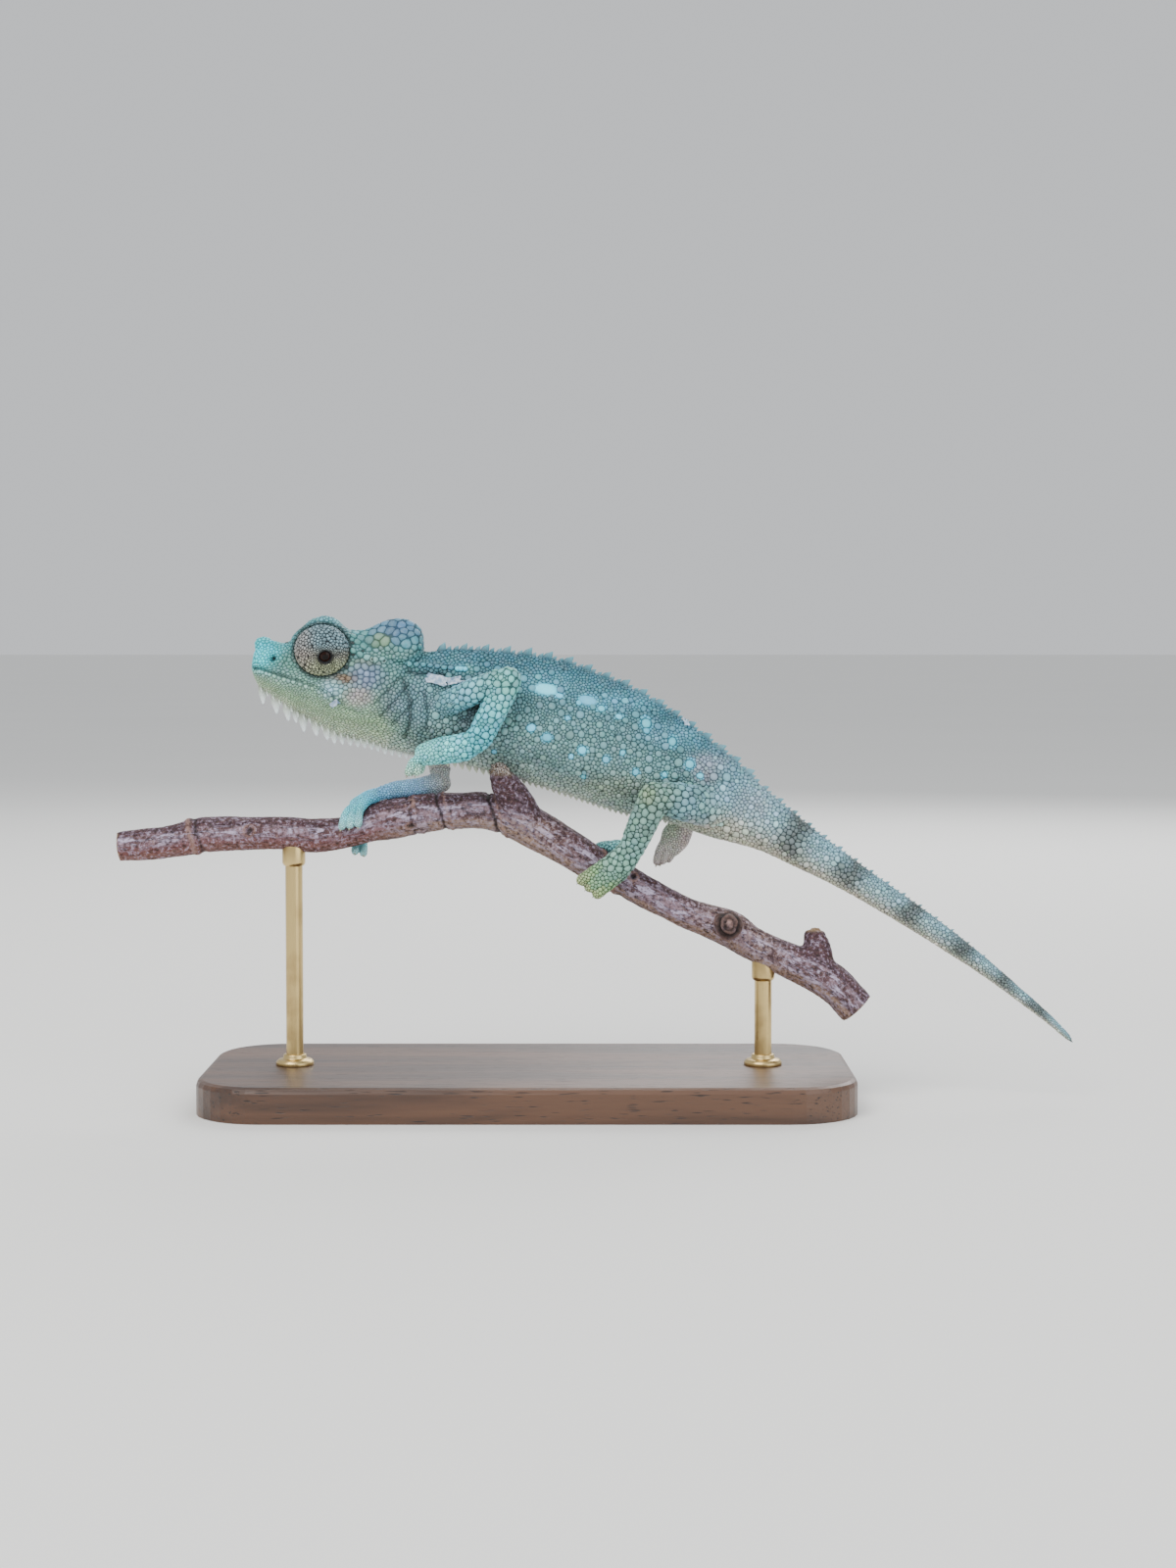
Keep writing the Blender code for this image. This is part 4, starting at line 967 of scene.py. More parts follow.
def mouth_line(side):
    return [trunk_point(station(k), depth, side) for k, depth in enumerate(MOUTH_DEPTHS)]


def sculpted(made):
    """Presses the folds, the mouth, the nostrils and the eye sockets into the skin, and gives how deep."""
    points, normals = read(made), read(made, "normal")
    where = Where(points)
    trunk = where.limb < 0
    lift = np.zeros(len(points))
    side_on = points[:, [0, 2]]
    on_side = np.flatnonzero(trunk & (points[:, 0] < 18.0) & (np.abs(normals[:, 1]) > 0.25))
    for *line, height, width in FOLDS:
        lift[on_side] += raise_along(side_on[on_side], line, height, width)
    head = np.flatnonzero(points[:, 0] < HEAD_REAR)
    for side in (-1, 1):
        mouth = mouth_line(side)
        lift[head] += raise_along(points[head], mouth, -0.75, 0.3)
        for rise, height in LIPS:
            lip = [p + np.array((0.0, 0.0, rise)) for p in mouth]
            lift[head] += raise_along(points[head], lip, height, 0.45)
        apart = from_nostril(points, side)
        lift += 0.16 * bell(apart, 0.85, 0.3) - 1.1 * bell(apart, 0.0, 0.5)
        for place, height, width in BROW:
            apart = np.linalg.norm(points - np.array(place) * (1.0, side, 1.0), axis=1)
            lift += height * bell(apart, 0.0, width)
    pleats = ramp(where.station, 2.0, 5.0) * ramp(where.station, 12.5, 10.5) * ramp(where.depth, 0.66, 0.76)
    waver = 0.8 * clouds(points, 7.0, 5.0)
    lift += trunk * pleats * ramp(where.depth, 0.97, 0.93) * 0.09 * np.sin(where.depth * 58.0 + waver)
    creases = ramp(np.abs(where.down - 1.0), 0.3, 0.0) + ramp(np.abs(where.down - 2.0), 0.35, 0.0)
    lift -= ~trunk * creases * 0.1 * (1.0 + np.sin(9.0 * where.down * 2.0 * math.pi + 2.0 * waver))
    for limb in range(len(LIMBS)):
        toes = np.flatnonzero((where.limb == limb) & (where.down > 2.8))
        lines = toe_lines(limb)
        first_bundle = TOES[limb][0][0]
        for bundle in (lines[:first_bundle], lines[first_bundle:]):
            apart = np.sort([apart_from(points[toes], line) for line in bundle], axis=0)
            parted = bell(apart[1] - apart[0], 0.0, 0.22) * ramp(apart[0], 1.5, 1.2)
            lift[toes] -= 0.26 * parted * ramp(where.down[toes], 2.9, 3.3)
    lift += 0.05 * clouds(points, 1.4, 4.0)
    points = points + normals * lift[:, None]
    sunk = ramp(from_eye(points), 1.05, 0.88) * (np.abs(points[:, 1]) > 1.2)
    floor = np.minimum(np.abs(points[:, 1]), SOCKET_FLOOR)
    points[:, 1] = np.sign(points[:, 1]) * (np.abs(points[:, 1]) * (1.0 - sunk) + floor * sunk)
    move(made, points)
    return lift


def openings(points):
    """How much points lie in the mouth's line or a nostril, from 0 to 1."""
    found = np.zeros(len(points))
    head = np.flatnonzero(points[:, 0] < HEAD_REAR)
    for side in (-1, 1):
        found[head] = np.maximum(found[head], raise_along(points[head], mouth_line(side), 1.0, 0.22))
        found = np.maximum(found, ramp(from_nostril(points, side), 0.75, 0.45))
    return found


skin_mesh = flesh()
skin_openings = openings(read(skin_mesh))
skin_lift = sculpted(skin_mesh)

# The skin's colours
# Steel teal along the back, grey green flanks with pale cyan spots, a yellow green throat, a turquoise
# snout, lilac plates behind the eye and dark bands on the tail. Skin and scales share these markings.


def seen(red, green, blue):
    """A colour as a screen shows it, from 0 to 255 each, on the shader's own even scale."""
    return np.power(np.array((red, green, blue)) / 255.0, 2.2)


def palette(*rows):
    return np.array([seen(*row) for row in rows])


# Colours from the back down to the belly, at the depths given first.
BODY_DEPTHS = (0.0, 0.1, 0.28, 0.55, 0.8, 0.95, 1.0)
BODY_SHADES = palette(
    (54, 112, 130),
    (64, 126, 144),
    (80, 130, 138),
    (106, 152, 154),
    (112, 148, 148),
    (168, 192, 182),
    (190, 200, 184),
)
TAIL_SHADES = palette(
    (116, 158, 174),
    (130, 178, 194),
    (144, 190, 204),
    (156, 186, 192),
    (178, 184, 172),
    (206, 202, 180),
    (212, 208, 190),
)
HEAD_SHADES = palette(
    (80, 154, 160),
    (86, 152, 156),
    (98, 148, 144),
    (126, 170, 158),
    (164, 198, 158),
    (188, 206, 176),
    (200, 212, 190),
)
# Colours down each limb, from the shoulder or hip, at 0, to the tips of the toes, at 4.
LIMB_DOWN = (0.0, 0.7, 1.0, 1.4, 2.0, 2.6, 3.2, 4.0)
LIMB_SHADES = (
    palette(
        (106, 166, 190),
        (112, 184, 194),
        (104, 176, 172),
        (104, 184, 192),
        (86, 190, 206),
        (120, 226, 232),
        (146, 240, 232),
        (196, 244, 222),
    ),
    palette(
        (224, 206, 180),
        (226, 212, 190),
        (200, 204, 204),
        (132, 180, 218),
        (116, 188, 232),
        (92, 210, 242),
        (112, 226, 242),
        (172, 240, 244),
    ),
    palette(
        (112, 152, 158),
        (104, 152, 160),
        (112, 150, 138),
        (118, 158, 148),
        (116, 162, 152),
        (124, 168, 146),
        (142, 184, 132),
        (180, 200, 142),
    ),
    palette(
        (166, 186, 170),
        (158, 192, 176),
        (166, 200, 172),
        (178, 206, 172),
        (188, 208, 178),
        (204, 208, 192),
        (214, 208, 202),
        (218, 206, 202),
    ),
)
# Soft patches on both sides: x, z, half length, half height, colour and strength.
PATCHES = (
    (-58.0, 77.8, 3.4, 2.8, seen(60, 236, 252), 0.97),
    (-52.4, 76.0, 3.4, 1.8, seen(100, 150, 138), 0.7),
    (-47.5, 84.0, 6.0, 1.8, seen(104, 172, 184), 0.8),
    (-41.5, 79.0, 2.6, 2.6, seen(92, 156, 156), 0.8),
    (-35.0, 82.0, 4.5, 3.0, seen(78, 124, 158), 1.0),
    (-37.2, 79.8, 2.0, 1.5, seen(120, 146, 104), 0.8),
    (-35.0, 77.6, 5.0, 1.1, seen(116, 160, 150), 0.6),
    (-40.0, 76.0, 2.8, 0.8, seen(134, 142, 100), 0.6),
    (-39.8, 73.6, 3.2, 2.6, seen(116, 136, 168), 0.9),
    (-43.9, 73.3, 2.4, 1.0, seen(138, 102, 70), 0.92),
    (-41.0, 70.2, 2.6, 1.7, seen(184, 172, 172), 0.85),
    (-45.5, 71.6, 1.9, 1.7, seen(160, 208, 222), 0.9),
    (-35.0, 69.0, 2.6, 3.0, seen(104, 126, 138), 0.75),
    (-31.0, 69.5, 3.4, 4.5, seen(112, 152, 164), 0.8),
    (-27.0, 76.4, 4.6, 1.4, seen(74, 136, 150), 0.7),
    (-22.4, 74.9, 1.4, 0.8, seen(120, 200, 196), 0.9),
    (-27.5, 63.6, 4.5, 2.6, seen(122, 150, 146), 0.6),
    (-20.5, 66.2, 4.0, 2.6, seen(96, 112, 120), 0.7),
    (-8.0, 72.4, 6.5, 1.8, seen(92, 164, 186), 0.7),
    (3.0, 69.6, 7.0, 1.7, seen(96, 170, 194), 0.75),
    (12.5, 63.6, 5.0, 2.0, seen(104, 172, 196), 0.75),
    (18.7, 58.6, 3.6, 1.9, seen(144, 156, 174), 0.8),
    (18.6, 56.4, 2.0, 1.2, seen(158, 138, 158), 0.45),
    (19.5, 47.8, 6.0, 1.7, seen(190, 188, 168), 0.8),
    (23.5, 53.2, 3.2, 2.2, seen(132, 178, 198), 0.7),
    (3.0, 54.6, 8.0, 2.4, seen(146, 154, 126), 0.5),
    (27.0, 51.5, 3.4, 3.0, seen(158, 178, 192), 0.7),
)
# The same on the hind limbs alone.
LIMB_PATCHES = (
    (17.0, 56.0, 5.5, 1.4, seen(120, 180, 190), 0.5),
    (8.4, 53.6, 1.8, 1.8, seen(130, 152, 108), 0.6),
    (15.8, 44.6, 1.8, 4.0, seen(222, 202, 204), 0.85),
)
# Pale round spots of one large scale each, with the small ones round it: x, z, half length, half height.
SPOTS = (
    (-9.0, 71.5, 2.1, 1.25),
    (-6.6, 70.4, 0.9, 0.7),
    (-1.8, 69.6, 1.8, 1.1),
    (0.6, 68.2, 0.9, 0.8),
    (8.3, 65.6, 1.2, 1.4),
    (12.8, 62.5, 1.0, 1.3),
    (15.8, 58.6, 1.1, 1.1),
    (17.6, 56.6, 0.8, 0.7),
    (-11.4, 64.9, 1.0, 0.85),
    (-8.7, 63.3, 1.15, 0.95),
    (-2.7, 61.1, 1.05, 0.95),
    (-4.6, 60.0, 0.6, 0.6),
    (1.4, 59.5, 0.85, 0.85),
    (4.2, 60.6, 0.6, 0.7),
    (6.5, 57.3, 0.8, 0.8),
    (11.4, 56.8, 0.7, 0.7),
    (-2.5, 56.5, 0.6, 0.6),
    (-5.2, 66.6, 0.6, 0.6),
    (-23.6, 75.1, 1.1, 0.6),
    (-14.6, 71.6, 0.8, 0.6),
    (-17.8, 60.8, 0.6, 0.6),
    (3.6, 66.8, 0.8, 0.6),
)
SPOT_SHADE = seen(92, 190, 218)
INNER_TOE_SHADE = seen(106, 184, 194)
SOCKET_PAINTED_SHADE = seen(52, 66, 66)
TAIL_BANDS = (25.6, 27.4, 28.9, 30.3, 31.5, 32.7)  # the stations of the dark bands
BAND_SHADE = seen(78, 84, 80)
SKIN_DARK = (0.008, 0.014, 0.018)
SCALE_BLOOM = (0.72, 0.82, 0.84)


def between(values, places, shades):
    """Colours at values, taken between the colours at places."""
    return np.stack([np.interp(values, places, shades[:, k]) for k in range(3)], 1)


def mixed(first, second, mask):
    return first + (second - first) * mask[:, None]


def patched(shade, x, z, patches, mask):
    """The colours with soft patches laid over them where the mask is 1."""
    for place_x, place_z, long, high, colour, strength in patches:
        away = ((x - place_x) / long) ** 2 + ((z - place_z) / high) ** 2
        shade = mixed(shade, colour, strength * np.exp(-(away**1.5)) * mask)
    return shade


def markings(points, where):
    """The animal's colour at points."""
    x, y, z = points.T
    shade = between(where.depth, BODY_DEPTHS, BODY_SHADES)
    shade = mixed(shade, between(where.depth, BODY_DEPTHS, TAIL_SHADES), ramp(where.station, 21.5, 24.5))
    shade = mixed(shade, between(where.depth, BODY_DEPTHS, HEAD_SHADES), ramp(where.station, 12.5, 9.0))
    waver = 0.25 * clouds(points, 3.0, 41.0)
    for band in TAIL_BANDS:
        dark = bell(where.station + waver, band, 0.4) * ramp(where.depth, 0.95, 0.7)
        shade = mixed(shade, BAND_SHADE, 0.9 * dark)
    shade = patched(shade, x, z, PATCHES, 1.0)
    spotted = np.zeros(len(points))
    for place_x, place_z, long, high in SPOTS:
        away = np.hypot((x - place_x) / long, (z - place_z) / high)
        spotted = np.maximum(spotted, ramp(away, 1.15, 0.85))
    shade = mixed(shade, SPOT_SHADE, spotted * (np.abs(y) > 1.0) * 0.92)
    for limb in range(len(LIMBS)):
        mine = (where.limb == limb) * ramp(where.edge, 0.0, 0.3) * ramp(where.down, -0.1, 0.5)
        shade = mixed(shade, between(where.down, LIMB_DOWN, LIMB_SHADES[limb]), mine)
    shade = patched(shade, x, z, LIMB_PATCHES, where.limb > 1)
    inner_toes = (where.limb == 2) * ramp(y, -3.4, -2.2)
    shade = mixed(shade, INNER_TOE_SHADE, inner_toes * 0.85)
    # A painted shadow in the sunk socket round each eye's turret.
    shade = mixed(shade, SOCKET_PAINTED_SHADE, 0.8 * ramp(from_eye(points), 1.2, 1.05))
    mottle = 1.0 + 0.16 * clouds(points, 2.2, 51.0) + 0.12 * clouds(points, 6.0, 61.0)
    return shade * mottle[:, None]


def living_skin():
    """Skin between scales: dark partly in its own colour and partly as painted shade, fine grained, a
    little moist.
    """
    made = Finish("skin between scales", {"Specular IOR Level": 0.2})
    shade = made.add("Attribute", {"attribute_name": "shade"}, {})
    grain = made.cloud(made.place(), 5200.0, 3.0)
    # Darkened further towards near-black: partly the skin's own colour, partly painted shade between the
    # scales.
    shade = made.blend(0.2 + 0.3 * grain, shade, SKIN_DARK)
    return made.done(shade, grain, 0.00005, 0.5 + 0.2 * grain)


def scaly():
    """Horny scales, each in its own colour: painted highlight on top, painted shade at the rim, a faint
    sheen.
    """
    made = Finish("horny scales", {"Coat Weight": 0.06, "Coat Roughness": 0.35})
    shade = made.add("Attribute", {"attribute_name": "shade"}, {})
    place = made.place()
    grain = made.cloud(place, 4800.0, 4.0, 0.6)
    bloom = made.cloud(place, 900.0, 3.0).within(0.4, 0.7)
    shade = made.blend(grain * 0.3, shade, made.blend(1.0, shade, (0.5, 0.5, 0.5), "MULTIPLY"))
    shade = made.blend(bloom * 0.07, shade, SCALE_BLOOM)
    return made.done(shade, grain, 0.00004, 0.42 + 0.2 * grain)


skin_where = Where(read(skin_mesh))
pale = np.maximum(ramp(skin_where.station, 12.0, 8.0), skin_where.limb >= 0)
pale += 1.4 * (skin_where.limb % 2 == 1)
# The skin between the scales is darkened, partly in its own colour and partly as painted shade. The mouth's
# line and the nostrils are painted near-black as shade.
dark_skin_and_painted_shade = (0.14 + 0.18 * pale) * (1.0 - 0.93 * skin_openings)
paint(skin_mesh, "shade", markings(read(skin_mesh), skin_where) * dark_skin_and_painted_shade[:, None])

# The scales
# Every scale is a small horny dome or plate rooted in the skin, with bare skin between, dark partly in
# its own colour and partly as painted shade. Large round ones stand among small ones on the flanks,
# plates cover the casque and cheek, fine rows line the throat.

SCALE_SIDES = 9
SCALE_TURNS = 2.0 * math.pi * (np.arange(SCALE_SIDES) / SCALE_SIDES)
SCALE_SINK = 0.1
SCALE_GAP = 0.02
# Painted shade at each scale's rim and a painted highlight on its top.
SCALE_PAINTED_LIGHT = (0.3, 0.78, 1.06, 1.16)  # how light a scale is at its rim, shoulder, flat top and middle
SCALE_SHARES = (1.0, 0.94, 0.6)  # where the first three lie in its patch of the colour map
# A pitted scale's other rings: how far out and how high they lie. Then the ring whose shade each takes,
# how light it is, and where it lies in the colour map.
# The pit's inner ring and its middle are painted near-black as shade.
PIT_RINGS = ((0.82, 1.1), (0.56, 1.0), (0.46, 0.3))
PIT_PAINTED_SHADE = ((0, 1.0), (1, 1.0), (2, 1.0), (2, 1.0), (2, 0.1), (2, 0.08))
PIT_SHARES = (1.0, 0.94, 0.8, 0.56, 0.46)
PATCH = 0.0015  # half the width of a scale's place in the coat's colour map
NEIGHBOURS = 14
# Rows of set scales on both sides: x and z along the row, spacing, half size and height.
SCALE_ROWS = (
    (((-44.2, 79.6), (-41.8, 78.0), (-38.6, 76.7), (-36.6, 76.6)), 1.35, 0.62, 0.3),
    (((-32.4, 75.9), (-29.0, 75.6), (-25.6, 75.2), (-22.4, 74.9)), 1.2, 0.52, 0.32),
    (((-53.3, 80.0), (-51.4, 82.6), (-48.4, 84.2), (-45.4, 83.9), (-43.0, 82.0)), 0.95, 0.44, 0.3),
)
# The rows of the lips: how far above the mouth's line, half size, and how drawn out.
LABIALS = ((0.5, 0.32, 1.2), (-0.62, 0.46, 0.8))
# Scales of their own kind on both sides: x, z, half size, and brightness of the whole and of the middle.
# The first two are pitted, their middles painted dark as shade; the rest are small dark scales painted
# as the shade in pits between the scales.
ODD_SCALES_AND_PAINTED_PITS = (
    (-38.6, 76.6, 0.58, 1.05, 0.12),
    (-36.7, 76.4, 0.6, 1.1, 0.12),
    (-42.1, 79.4, 0.4, 0.1, 0.1),
    (-41.9, 77.5, 0.36, 0.1, 0.1),
    (-40.4, 78.0, 0.34, 0.14, 0.14),
    (-43.0, 75.2, 0.34, 0.14, 0.14),
    (-43.4, 82.2, 0.34, 0.16, 0.16),
    (-53.6, 79.4, 0.32, 0.2, 0.2),
    (-52.4, 81.4, 0.3, 0.2, 0.2),
)


class Ground:
    """A surface that scales are set on."""

    def __init__(self, mesh, lies, chart=None):
        mesh.calc_loop_triangles()
        corners = np.zeros(len(mesh.loop_triangles) * 3, int)
        mesh.loop_triangles.foreach_get("vertices", corners)
        self.points, self.normals, self.lies = read(mesh), read(mesh, "normal"), lies
        self.faces = corners.reshape(-1, 3)
        self.tree = BVHTree.FromPolygons(self.points.tolist(), self.faces.tolist())
        a, b, c = (self.points[self.faces[:, k]] for k in range(3))
        self.areas = np.linalg.norm(np.cross(b - a, c - a), axis=1) / 2.0
        if chart is not None:
            loops = np.zeros(len(mesh.loop_triangles) * 3, int)
            mesh.loop_triangles.foreach_get("loops", loops)
            spots = np.zeros(len(mesh.loops) * 2)
            chart.uv.foreach_get("vector", spots)
            self.chart = spots.reshape(-1, 2)[loops[::3]]

    def settle(self, points):
        """The nearest places on the surface, and the faces they are in."""
        found = [self.tree.find_nearest(p) for p in points.tolist()]
        return np.array([f[0] for f in found]), np.array([f[2] for f in found])

    def beside(self, x, z, side):
        """The place that shows at x and z when the animal is seen from one side."""
        return self.tree.ray_cast((x, side * 30.0, z), (0.0, -side, 0.0))[0]

    def normal(self, faces):
        total = self.normals[self.faces[faces]].sum(1)
        return total / np.linalg.norm(total, axis=1)[:, None]

    def drawn(self, sizes, draw):
        """Random places, as many as scales of the sizes at each vertex would fill."""
        size = sizes[self.faces].mean(1)
        wanted = np.where(size > 0.0, self.areas / (2.0 * math.sqrt(3.0) * np.maximum(size, 0.1) ** 2), 0.0)
        total = np.cumsum(wanted)
        faces = np.searchsorted(total, draw.random(int(total[-1])) * total[-1])
        first, second = np.sort(draw.random((2, len(faces))), axis=0)
        a, b, c = (self.points[self.faces[faces, k]] for k in range(3))
        first, second = first[:, None], second[:, None]
        return a * first + b * (second - first) + c * (1.0 - second), size[faces]


def around(points, count):
    """The nearest other points of each point, by number."""
    tree = tree_of(points)
    return np.array([[hit[1] for hit in tree.find_n(p, count + 1)][1:] for p in points])


def spread(ground, points, sizes, stretch, held, rounds):
    """Pushes scales apart over the surface until each has its room. The first held ones stay."""
    points = points.copy()
    for _ in range(rounds):
        near = around(points, 8)
        _, faces = ground.settle(points)
        lies = ground.lies[ground.faces[faces, 0]]
        off = points[:, None] - points[near]
        along = (off * lies[:, None]).sum(2)
        flat = off - lies[:, None] * (along * (1.0 - 1.0 / stretch[:, None]))[..., None]
        apart = np.maximum(np.linalg.norm(flat, axis=2), 0.02)
        push = np.clip(sizes[:, None] + sizes[near] - apart, 0.0, None) / apart
        step = (off * push[..., None]).sum(1) * 0.3
        points[held:] = ground.settle(points[held:] + step[held:])[0]
    return points


def filled(ground, points, sizes, stretch, wanted, wanted_stretch, seed, room=0.4, rounds=9):
    """Adds scales of the wanted size at each vertex between those already set."""
    draw = np.random.default_rng(seed)
    new, new_sizes = ground.drawn(wanted, draw)
    new_sizes = new_sizes * draw.uniform(0.85, 1.18, len(new))
    if len(points):
        near = nearest(new, points)
        free = np.linalg.norm(new - points[near], axis=1) > sizes[near] * 0.95 + new_sizes * room
        new, new_sizes = new[free], new_sizes[free]
    first = nearest(new, ground.points)
    points = np.vstack([points.reshape(-1, 3), new])
    stretch = np.concatenate([stretch, wanted_stretch[first]])
    total = np.concatenate([sizes, new_sizes])
    return spread(ground, points, total, stretch, len(sizes), rounds), total, stretch


def outlines(ground, points, sizes, stretch, gap):
    """Each scale's rim on the surface: a rounded polygon that keeps the gap from its neighbours."""
    _, faces = ground.settle(points)
    normals = ground.normal(faces)
    lies = ground.lies[ground.faces[faces, 0]]
    lies = lies - normals * (lies * normals).sum(1)[:, None]
    lies /= np.maximum(np.linalg.norm(lies, axis=1), 1e-6)[:, None]
    across = np.cross(normals, lies)
    near = around(points, NEIGHBOURS)
    off = points[near] - points[:, None]
    east = (off * lies[:, None]).sum(2) / stretch[:, None]
    north = (off * across[:, None]).sum(2)
    apart = np.maximum(np.hypot(east, north), 0.05)
    border = (apart**2 + sizes[:, None] ** 2 - sizes[near] ** 2) / (2.0 * apart)
    border = np.maximum(border, 0.2 * sizes[:, None])
    turns = SCALE_TURNS + np.random.default_rng(5).uniform(0.0, 1.0, (len(points), 1))
    facing = np.cos(turns[:, None, :]) * (east / apart)[..., None]
    facing += np.sin(turns[:, None, :]) * (north / apart)[..., None]
    reach = border[..., None] / np.maximum(facing, 0.02)
    reach = np.power(np.power(reach, -14.0).sum(1), -1.0 / 14.0)
    reach = np.maximum(np.minimum(reach, sizes[:, None] * 1.8) - gap, 0.05)
    rims = lies[:, None] * (reach * np.cos(turns) * stretch[:, None])[..., None]
    rims = points[:, None] + rims + across[:, None] * (reach * np.sin(turns))[..., None]
    settled, rim_faces = ground.settle(rims.reshape(-1, 3))
    slid = np.linalg.norm(settled - rims.reshape(-1, 3), axis=1)
    settled = np.where((slid < 1.0)[:, None], settled, rims.reshape(-1, 3))
    rim_normals = ground.normal(rim_faces).reshape(rims.shape)
    agree = (rim_normals * normals[:, None]).sum(2)[..., None]
    rim_normals = np.where(agree > 0.2, rim_normals, normals[:, None])
    return settled.reshape(rims.shape), rim_normals, normals, faces


def studs(name, rings, tips, shades, roots, shares, material):
    """One mesh of many closed forms, each through its rings of points up to its tip."""
    count, levels, sides = rings.shape[:3]
    points = np.concatenate([rings.reshape(count, -1, 3), tips[:, None]], axis=1)
    step = np.arange(sides)
    after = (step + 1) % sides
    walls = [np.stack([step, after, after + sides, step + sides], 1) + k * sides for k in range(levels - 1)]
    top = (levels - 1) * sides
    caps = np.stack([step + top, after + top, np.full(sides, levels * sides)], 1)
    corners = np.concatenate([step[::-1], *[w.ravel() for w in walls], caps.ravel()])
    totals = np.concatenate([[sides], np.full(sides * (levels - 1), 4), np.full(sides, 3)])
    size = levels * sides + 1
    corners_all = (corners + np.arange(count)[:, None] * size).ravel()
    starts = np.concatenate([[0], np.cumsum(np.tile(totals, count))[:-1]])
    mesh = bpy.data.meshes.new(name)
    mesh.vertices.add(count * size)
    mesh.loops.add(len(corners_all))
    mesh.polygons.add(len(starts))
    mesh.vertices.foreach_set("co", np.ascontiguousarray(points * MM, np.float32).ravel())
    mesh.loops.foreach_set("vertex_index", corners_all.astype(np.int32))
    mesh.polygons.foreach_set("loop_start", starts.astype(np.int32))
    mesh.update(calc_edges=True)
    colours = np.repeat(shades, [sides] * levels + [1], axis=1)
    paint(mesh, "shade", colours.reshape(-1, 3))
    turns = 2.0 * math.pi * step / sides
    wheel = np.stack([np.cos(turns), np.sin(turns)], 1)
    flat = np.concatenate([wheel * s for s in shares[:levels]] + [[(0.0, 0.0)]])[corners] * PATCH
    flat[:sides] = (0.95 * PATCH, 0.95 * PATCH) + flat[:sides] * 0.04
    chart = mesh.uv_layers.new(name="OFBake")
    chart.uv.foreach_set("vector", (roots[:, None] + flat).astype(np.float32).ravel())
    return finished(name, mesh, material)


def coat_sizes(points, where):
    """The half size of the small scales in each part of the body, and how far they are drawn out."""
    x, y, z = points.T
    size = np.interp(where.depth, (0.0, 0.15, 0.4, 0.75, 0.9, 1.0), (0.34, 0.33, 0.31, 0.33, 0.38, 0.36))
    on_tail = np.interp(where.station, (22.0, 25.0, 28.0, 31.0, 34.0), (0.34, 0.36, 0.31, 0.24, 0.15))
    size = np.where(where.station > 22.0, on_tail, size)
    head = ramp(where.station, 12.6, 11.4)
    on_head = np.interp(x, (-60.0, -54.0, -45.0, -33.0), (0.36, 0.34, 0.36, 0.36))
    size = size * (1.0 - head) + on_head * head
    jaw = head * ramp(where.depth, 0.6, 0.68) * ramp(where.station, 11.5, 8.0)
    jaw = np.maximum(jaw, head * ramp(where.depth, 0.66, 0.72) * 0.6)
    size = size * (1.0 - jaw) + np.interp(x, (-58.0, -46.0, -36.0), (0.2, 0.22, 0.3)) * jaw
    cheek = np.exp(-((((x + 39.6) / 3.3) ** 2 + ((z - 73.8) / 2.4) ** 2) ** 2))
    pale = np.exp(-((((x + 45.5) / 1.8) ** 2 + ((z - 71.6) / 1.5) ** 2) ** 2))
    size += head * (cheek * 0.22 + pale * 0.2)
    lip = head * ramp(where.depth, 0.32, 0.38) * ramp(where.depth, 0.6, 0.55) * ramp(x, -42.0, -45.0)
    size -= lip * 0.08
    helmet = ramp(z, 77.6, 79.6) * ramp(x, -43.0, -40.5) * ramp(x, -28.6, -30.4)
    size += helmet * 0.48
    stretch = 1.0 + 0.95 * jaw * ramp(where.depth, 0.64, 0.7) * ramp(where.depth, 0.98, 0.9) + 0.6 * lip
    limb = np.interp(where.down, (0.0, 0.5, 1.5, 2.0, 3.0, 4.0), (0.33, 0.36, 0.36, 0.34, 0.32, 0.24))
    finer = np.select([where.limb == 1, where.limb == 2, where.limb == 3], [0.66, 1.16, 0.74], 1.0)
    size = np.where(where.limb >= 0, limb * finer, size)
    stretch = np.where(where.limb >= 0, 1.0, stretch)
    hidden = (where.limb < 0) & (from_eye(points) < 0.97) & (np.abs(y) > 1.2)
    return np.where(hidden, 0.0, size), stretch


def large_sizes(where):
    """The half room of the large round scales among the small ones, or 0 where there are none."""
    flank = ramp(where.depth, 0.1, 0.2) * ramp(where.depth, 0.93, 0.84)
    flank *= (where.station > 12.4) * (where.limb < 0)
    on_flank = np.interp(where.depth, (0.1, 0.3, 0.6, 0.9), (1.15, 1.1, 0.95, 0.8))
    on_tail = np.interp(where.station, (23.5, 27.0, 34.0), (0.92, 0.72, 0.4))
    room = np.where(flank > 0.5, on_flank, 0.0)
    room = np.where(flank * (where.station > 23.5) > 0.5, on_tail, room)
    on_limb = (where.limb >= 0) & (where.limb % 2 == 0) & (where.down > 0.1) & (where.down < 2.5)
    return np.where(on_limb, 0.72, room)


def domed(points, rims, rim_normals, normals, height, sink, low, flat):
    """Each scale's rings: its rim sunk in the skin, its shoulder and the edge of its flat top."""
    out = rims - points[:, None]
    rise = height[:, None, None]
    return np.stack(
        [
            rims - rim_normals * sink,
            points[:, None] + out * 0.95 + rim_normals * rise * low,
            points[:, None] + out * flat + normals[:, None] * rise * 0.93,
        ],
        axis=1,
    )


